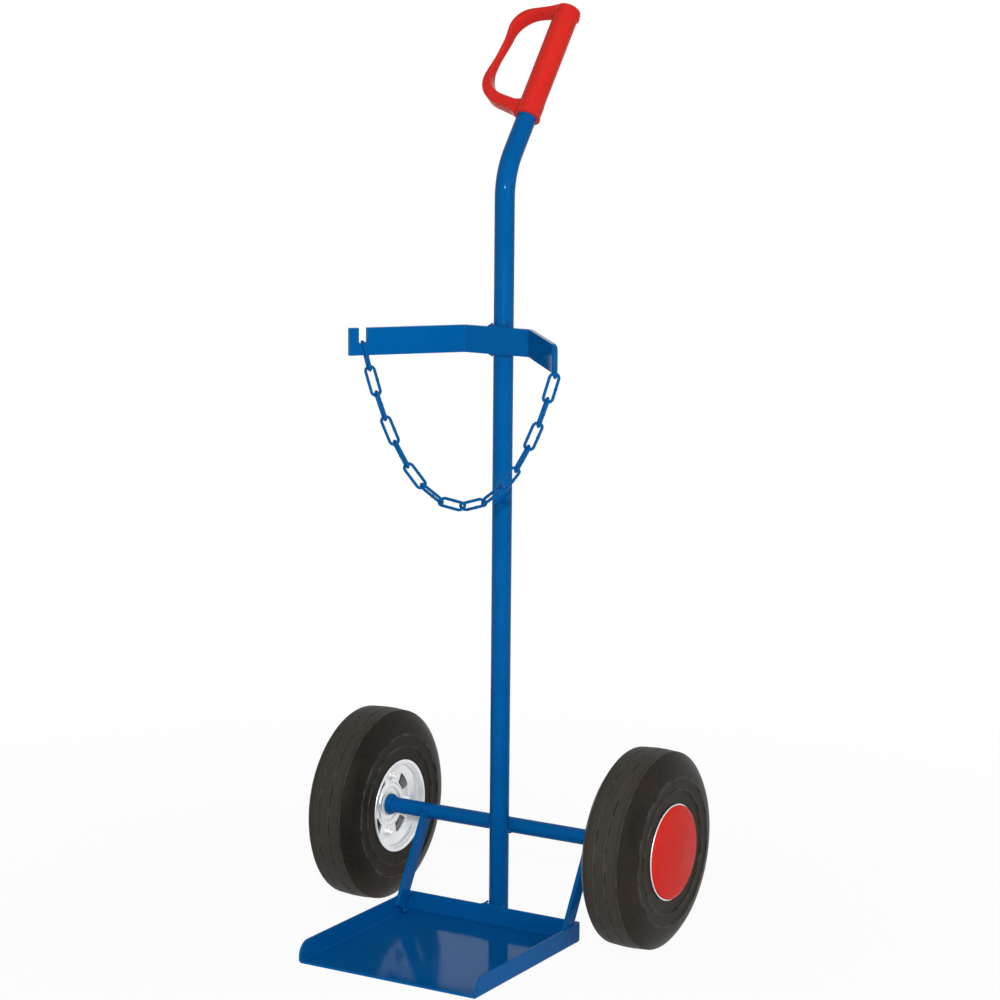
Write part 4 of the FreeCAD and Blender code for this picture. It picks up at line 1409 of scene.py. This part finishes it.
@dataclass
class Grip:
    """Moulded grip: sleeve, collar, cap and the waisted knuckle guard, drawn upright."""

    mast: Mast
    bore: float = 12.55
    radius: float = 15.5
    start: float = 83.5
    collar_end: float = 104.0
    collar_radius: float = 16.1
    foot_radius: float = 17.0
    foot_end: float = 86.0
    cap_start: float = 239.0
    cap_radius: float = 17.4
    rim_end: float = 248.5
    rim_radius: float = 16.5
    top: float = 253.0
    bore_end: float = 240.05
    collar_step: float = 0.6
    foot_step: float = 1.5
    top_share: float = 0.5
    line_step: float = 4.0
    stations: int = 46
    inner_stations: int = 400
    steps: int = 96
    widest: float = 20.0
    edge: float = 2.2
    tool_radius: float = 13.6
    tool_over: float = 10.0
    outside: tuple[Corner, ...] = ((-7.75, 252.0, 0.0), (-71.3, 241.0, 29.0), (-71.3, 199.0, 60.0),
                                   (-84.7, 113.8, 43.0), (-7.75, 84.6, 0.0))
    inside: tuple[Corner, ...] = ((-7.75, 229.0, 0.0), (-17.5, 241.2, 9.0), (-65.7, 236.0, 31.4),
                                  (-65.7, 199.0, 60.0), (-76.1, 123.3, 43.0), (-17.5, 104.6, 9.0),
                                  (-7.75, 119.0, 0.0))
    half_depths: tuple[tuple[float, float], ...] = (
        (86.0, 10.0), (106.0, 9.9), (127.0, 9.1), (150.0, 6.9), (171.0, 5.4), (193.0, 6.7),
        (217.0, 9.0), (237.0, 9.9), (254.0, 10.0))

    def make(self, bench: Bench) -> None:
        """Turn the body, sweep the guard, join them and lean them onto the mast.

        Args:
            bench: Bench that the work is done on.
        """
        outline = rounded([
            (0.0, self.top, 0.0),
            (self.rim_radius * self.top_share, self.top, 9.0),
            (self.rim_radius, self.rim_end, 3.5),
            (self.cap_radius, self.cap_start, 0.7),
            (self.radius, self.cap_start, 0.3),
            (self.radius, self.collar_end + self.collar_step, 0.5),
            (self.collar_radius, self.collar_end, 0.5),
            (self.collar_radius, self.foot_end + self.foot_step, 2.0),
            (self.foot_radius, self.foot_end, 0.9),
            (self.foot_radius, self.start, 0.9),
            (self.bore, self.start, 0.0),
            (self.bore, self.bore_end, 0.0),
            (0.0, self.bore_end, 0.0),
        ], closed=False, step=7.0)
        body = bench.turned("guarded_grip", [metres(point.x, 0.0, point.y) for point in outline],
                            Vector(), Z_AXIS, self.steps)
        bench.smooth(body)
        guard = self._guard(bench)
        grip = bench.joined("guarded_grip", [body, guard])
        grip.matrix_world = self.mast.leaning
        bench.settle()
        bench.fit(grip, Finish.RED, "frame", "hand_grip")

    def _half_depth(self, height: float) -> float:
        """Half the guard's depth at a height."""
        heights, depths = zip(*self.half_depths)
        return float(np.interp(height, heights, depths))

    def _line(self) -> tuple[list[Vector], list[float]]:
        """Middle line of the guard's strap and its thickness at each point.

        Returns:
            The line's points, drawn upright, and the thicknesses.
        """
        outer, inner = (rounded(list(corners), closed=False, step=self.line_step)
                        for corners in (self.outside, self.inside))
        outer = self._spaced(outer, self.stations)
        inner = self._spaced(inner, self.inner_stations)
        middles = []
        thicknesses = []
        for point in outer:
            near = min(inner, key=lambda other: (other - point).length)
            middles.append((point + near) / 2)
            thicknesses.append((point - near).length)
        return middles, thicknesses

    @staticmethod
    def _spaced(line: list[Vector], count: int) -> list[Vector]:
        """Points at even distances along a line.

        Args:
            line: The line's points.
            count: Number of points to return.

        Returns:
            The points.
        """
        lengths = np.cumsum([0.0] + [(b - a).length for a, b in zip(line, line[1:])])
        places = np.linspace(0.0, lengths[-1], count)
        xs = np.interp(places, lengths, [point.x for point in line])
        zs = np.interp(places, lengths, [point.y for point in line])
        return [Vector((x, z)) for x, z in zip(xs, zs)]

    def _guard(self, bench: Bench) -> Piece:
        """Strap drawn by its edge, folded to a strip, mirrored and given its thickness.

        Args:
            bench: Bench that the work is done on.

        Returns:
            The guard.
        """
        middles, thicknesses = self._line()
        rim = [metres(point.x, -self._half_depth(point.y), point.y) for point in middles]
        strap = bench.outline("guard_strap", rim)
        bench.push(Vector())
        bpy.ops.transform.resize(value=(1.0, 0.0, 1.0), center_override=(0.0, 0.0, 0.0))
        bench.close(strap)
        group = strap.vertex_groups.new(name="thickness")
        for vertex in strap.data.vertices:
            place = Vector((vertex.co.x, vertex.co.z)) / MM
            nearest = min(range(len(middles)), key=lambda index: (middles[index] - place).length)
            group.add([vertex.index], thicknesses[nearest] / self.widest, "REPLACE")
        bench.modify(strap, "MIRROR", use_axis=(False, True, False), merge_threshold=1e-5)
        bench.modify(strap, "SOLIDIFY", thickness=self.widest * MM, offset=0.0,
                     vertex_group="thickness", use_even_offset=True)
        bench.soften(strap, self.edge, segments=4, angle=50.0)
        tool = bench.ring("bore_tool", metres(0.0, 0.0, self.start - self.tool_over),
                          self.tool_radius * MM, self.steps)
        bpy.ops.mesh.edge_face_add()
        bench.push(metres(0.0, 0.0, self.rim_end - self.start + 2 * self.tool_over))
        bench.cut(strap, bench.close(tool))
        bench.smooth(strap, angle=45.0)
        return strap


@dataclass
class Chain:
    """Sixteen long links, modelled once and placed on the frame's own links."""

    wire: float = 1.9
    inner_length: float = 33.0
    outer_width: float = 15.2
    links: int = 16
    seam: float = 1.16
    seam_half: float = 1.3
    seam_rise: float = 0.45
    seam_share: float = 0.15
    ring_points: int = 18
    bend_steps: int = 12

    def make(self, bench: Bench) -> None:
        """Model the link and place its copies.

        Args:
            bench: Bench that the work is done on.
        """
        pattern = self._link(bench)
        for number in range(1, self.links + 1):
            node = f"chain_link_{number:02d}"
            link = bench.placed_copy(pattern, f"link_{number:02d}", self._place(node))
            bench.fit(link, Finish.BLUE, body_of(node), node)
        bpy.data.objects.remove(pattern)

    def _link(self, bench: Bench) -> Piece:
        """One upright link with the welded seam of its closing side.

        Args:
            bench: Bench that the work is done on.

        Returns:
            The link, with its middle at the origin.
        """
        bend = self.outer_width / 2 - self.wire
        half = self.inner_length / 2 + self.wire - bend
        link = bench.ring("link_pattern", metres(bend, 0.0, self.seam_half), self.wire * MM,
                          self.ring_points)
        bench.push(metres(0.0, 0.0, half - self.seam_half))
        for height, rise in ((half, -2 * half), (-half, half - self.seam_half)):
            bpy.ops.mesh.spin(steps=self.bend_steps, angle=math.pi,
                              center=metres(0.0, 0.0, height), axis=Y_AXIS)
            bench.push(metres(0.0, 0.0, rise))
        seam_length = 2 * self.seam_half
        level = (1.0 - self.seam_share) * seam_length - self.seam_rise
        for rise, factor in ((self.seam_rise, self.seam), (level, 1.0),
                             (self.seam_share * seam_length, 1.0 / self.seam)):
            bench.push(metres(0.0, 0.0, rise))
            bpy.ops.transform.resize(value=(factor, factor, 1.0), center_override=metres(
                bend, 0.0, 0.0))
        bench.close(link)
        bench.smooth(link, angle=50.0)
        return link

    @staticmethod
    def _place(node: str) -> Matrix:
        """Place of a link of the frame, from the spread of its points along three axes.

        Args:
            node: Name of the frame's link.

        Returns:
            Matrix that puts the modelled link there.
        """
        points = np.array([vertex.co[:] for vertex in FRAME["nodes"][node].data.vertices])
        middle = points.mean(axis=0)
        spread, axes = np.linalg.eigh(np.cov((points - middle).T))
        long_axis = axes[:, int(np.argmax(spread))]
        wide_axis = axes[:, int(np.argsort(spread)[1])]
        thin_axis = np.cross(long_axis, wide_axis)
        frame = np.column_stack([wide_axis, thin_axis, long_axis])
        local = points @ frame
        centre = frame @ ((local.min(axis=0) + local.max(axis=0)) / 2)
        return Matrix.Translation(Vector(centre)) @ Matrix(frame.tolist()).to_4x4()


def body_of(node: str) -> str:
    """Name of the body that a node of the frame rides on."""
    parent = FRAME["nodes"][node].parent
    return next(name for name, empty in FRAME["bodies"].items() if empty == parent)


@dataclass
class Lamp:
    """One soft box."""

    name: str
    place: Point
    target: Point
    size: tuple[float, float]
    power: float

    def make(self) -> None:
        """Add the lamp and aim it."""
        bpy.ops.object.light_add(type="AREA", location=self.place)
        lamp = bpy.context.object
        lamp.name = self.name
        lamp.data.shape = "RECTANGLE"
        lamp.data.size, lamp.data.size_y = self.size
        lamp.data.energy = self.power
        aim = Vector(self.target) - Vector(self.place)
        lamp.rotation_euler = aim.to_track_quat("-Z", "Y").to_euler()
        lamp.visible_camera = False


@dataclass
class Studio:
    """White floor and background, soft lamps and the camera."""

    camera_place: Point = (1.8648, -3.0510, 1.1924)
    camera_yaw: float = 30.347
    camera_tilt: float = 9.883
    camera_roll: float = 0.500
    focal_pixels: float = 3006.9
    image_pixels: float = 1000.0
    sensor: float = 36.0
    floor_half: float = 30.0
    paper: tuple[float, float, float, float] = (0.93, 0.93, 0.93, 1.0)
    paper_rough: float = 0.9
    paper_gloss: float = 0.1
    paper_near: float = 0.94
    paper_reach: tuple[float, float] = (0.45, 1.5)
    paper_glow: float = 1.0
    fill: float = 0.24
    lamps: tuple[Lamp, ...] = (
        Lamp("key_box", (1.68, -2.96, 1.62), (0.0, 0.1, 0.6), (0.13, 0.13), 74.0),
        Lamp("low_box", (1.8, -3.0, 0.24), (0.0, 0.14, 0.6), (0.26, 0.4), 9.0),
        Lamp("right_box", (2.9, -1.0, 1.2), (0.0, 0.1, 0.3), (0.6, 1.0), 16.0),
        Lamp("top_box", (0.1, 0.2, 3.2), (0.0, 0.1, 0.3), (1.4, 1.4), 10.0),
    )

    def build(self) -> None:
        """Set up the whole studio."""
        self._floor()
        self._world()
        for lamp in self.lamps:
            lamp.make()
        self._camera()
        bpy.context.scene.view_settings.view_transform = "Standard"

    def _floor(self) -> None:
        """Paper that shows white to the camera and keeps the soft shadow near the object."""
        Bench.clear()
        bpy.ops.mesh.primitive_plane_add(size=2 * self.floor_half, location=(0.0, 0.0, 0.0))
        floor = bpy.context.object
        floor.name = "studio_floor"
        material = bpy.data.materials.new("Studio floor")
        material.use_nodes = True
        desk = NodeDesk(material.node_tree)
        shader = material.node_tree.nodes["Principled BSDF"]
        shader.inputs["Base Color"].default_value = self.paper
        shader.inputs["Roughness"].default_value = self.paper_rough
        shader.inputs["Specular IOR Level"].default_value = self.paper_gloss
        glow = desk.add("Emission", "White paper", Strength=self.paper_glow)
        place = desk.add("TexCoord", "Place on the floor").outputs["Object"]
        near, far = self.paper_reach
        reach = desk.spread("More glow further out", desk.length("Distance from the object", place),
                            From_Min=near, From_Max=far, To_Min=self.paper_near, To_Max=1.0)
        share = desk.math("Glow share", "MULTIPLY", self._seen(desk), reach)
        mix = desk.add("MixShader", "Paper and light",
                       {"Fac": share, 1: shader.outputs[0], 2: glow.outputs[0]})
        desk.join(mix.outputs[0], material.node_tree.nodes["Material Output"].inputs["Surface"])
        floor.data.materials.append(material)

    @staticmethod
    def _seen(desk: NodeDesk) -> Socket:
        """1 for rays that see a surface, mirror it or pass through to it, and 0 for the rest.

        Args:
            desk: Desk of the tree that needs it.

        Returns:
            Output with the 1 or 0.
        """
        rays = desk.add("LightPath", "Ray kind").outputs
        first = desk.math("Seen or mirrored", "MAXIMUM", rays["Is Camera Ray"],
                          rays["Is Glossy Ray"])
        return desk.math("Or through", "MAXIMUM", first, rays["Is Transmission Ray"])

    def _world(self) -> None:
        """White to the camera, and a soft fill on the object."""
        world = bpy.data.worlds.new("Studio air")
        bpy.context.scene.world = world
        world.use_nodes = True
        desk = NodeDesk(world.node_tree)
        inputs = world.node_tree.nodes["Background"].inputs
        inputs["Color"].default_value = (1.0, 1.0, 1.0, 1.0)
        desk.join(desk.spread("Strength", self._seen(desk), To_Min=self.fill, To_Max=1.0),
                  inputs["Strength"])

    def _camera(self) -> None:
        """Camera at the photograph's place, with no shift."""
        yaw = math.radians(self.camera_yaw)
        tilt = math.radians(self.camera_tilt)
        roll = math.radians(self.camera_roll)
        ahead = Vector((-math.sin(yaw) * math.cos(tilt), math.cos(yaw) * math.cos(tilt),
                        -math.sin(tilt)))
        right = Vector((math.cos(yaw), math.sin(yaw), 0.0))
        up = right.cross(ahead)
        image_right = right * math.cos(roll) + up * math.sin(roll)
        image_up = up * math.cos(roll) - right * math.sin(roll)
        turn = Matrix((image_right, image_up, -ahead)).transposed()
        bpy.ops.object.camera_add(location=self.camera_place)
        camera = bpy.context.object
        camera.name = "photo_camera"
        camera.matrix_world = Matrix.Translation(self.camera_place) @ turn.to_4x4()
        camera.data.sensor_width = self.sensor
        camera.data.lens = self.focal_pixels / self.image_pixels * self.sensor
        bpy.context.scene.camera = camera


def dress_frame(shop: PaintShop) -> None:
    """Give every node of the frame the finish of its slot.

    Args:
        shop: Shop that holds the finishes.
    """
    slots = {part["node"]: part["material_slot"] for part in FRAME["record"]["subparts"]}
    for name, node in FRAME["nodes"].items():
        material = shop.of(Finish(slots[name]))
        for slot in node.material_slots:
            slot.material = material


def build_pieces(shop: PaintShop) -> None:
    """Model every piece that stands for a node of the frame.

    Args:
        shop: Shop that holds the finishes.
    """
    bench = Bench(shop)
    axle = Axle()
    mast = Mast()
    for assembly in (axle, Wheel(axle), mast, Tray(), Cradle(), Struts(axle), Grip(mast), Chain()):
        assembly.make(bench)


def main() -> None:
    """Dress the frame, add the pieces and set up the studio."""
    logging.basicConfig(level=logging.INFO, format="%(name)s: %(message)s")
    shop = PaintShop()
    dress_frame(shop)
    build_pieces(shop)
    Studio().build()


if __name__ == "__main__":
    main()
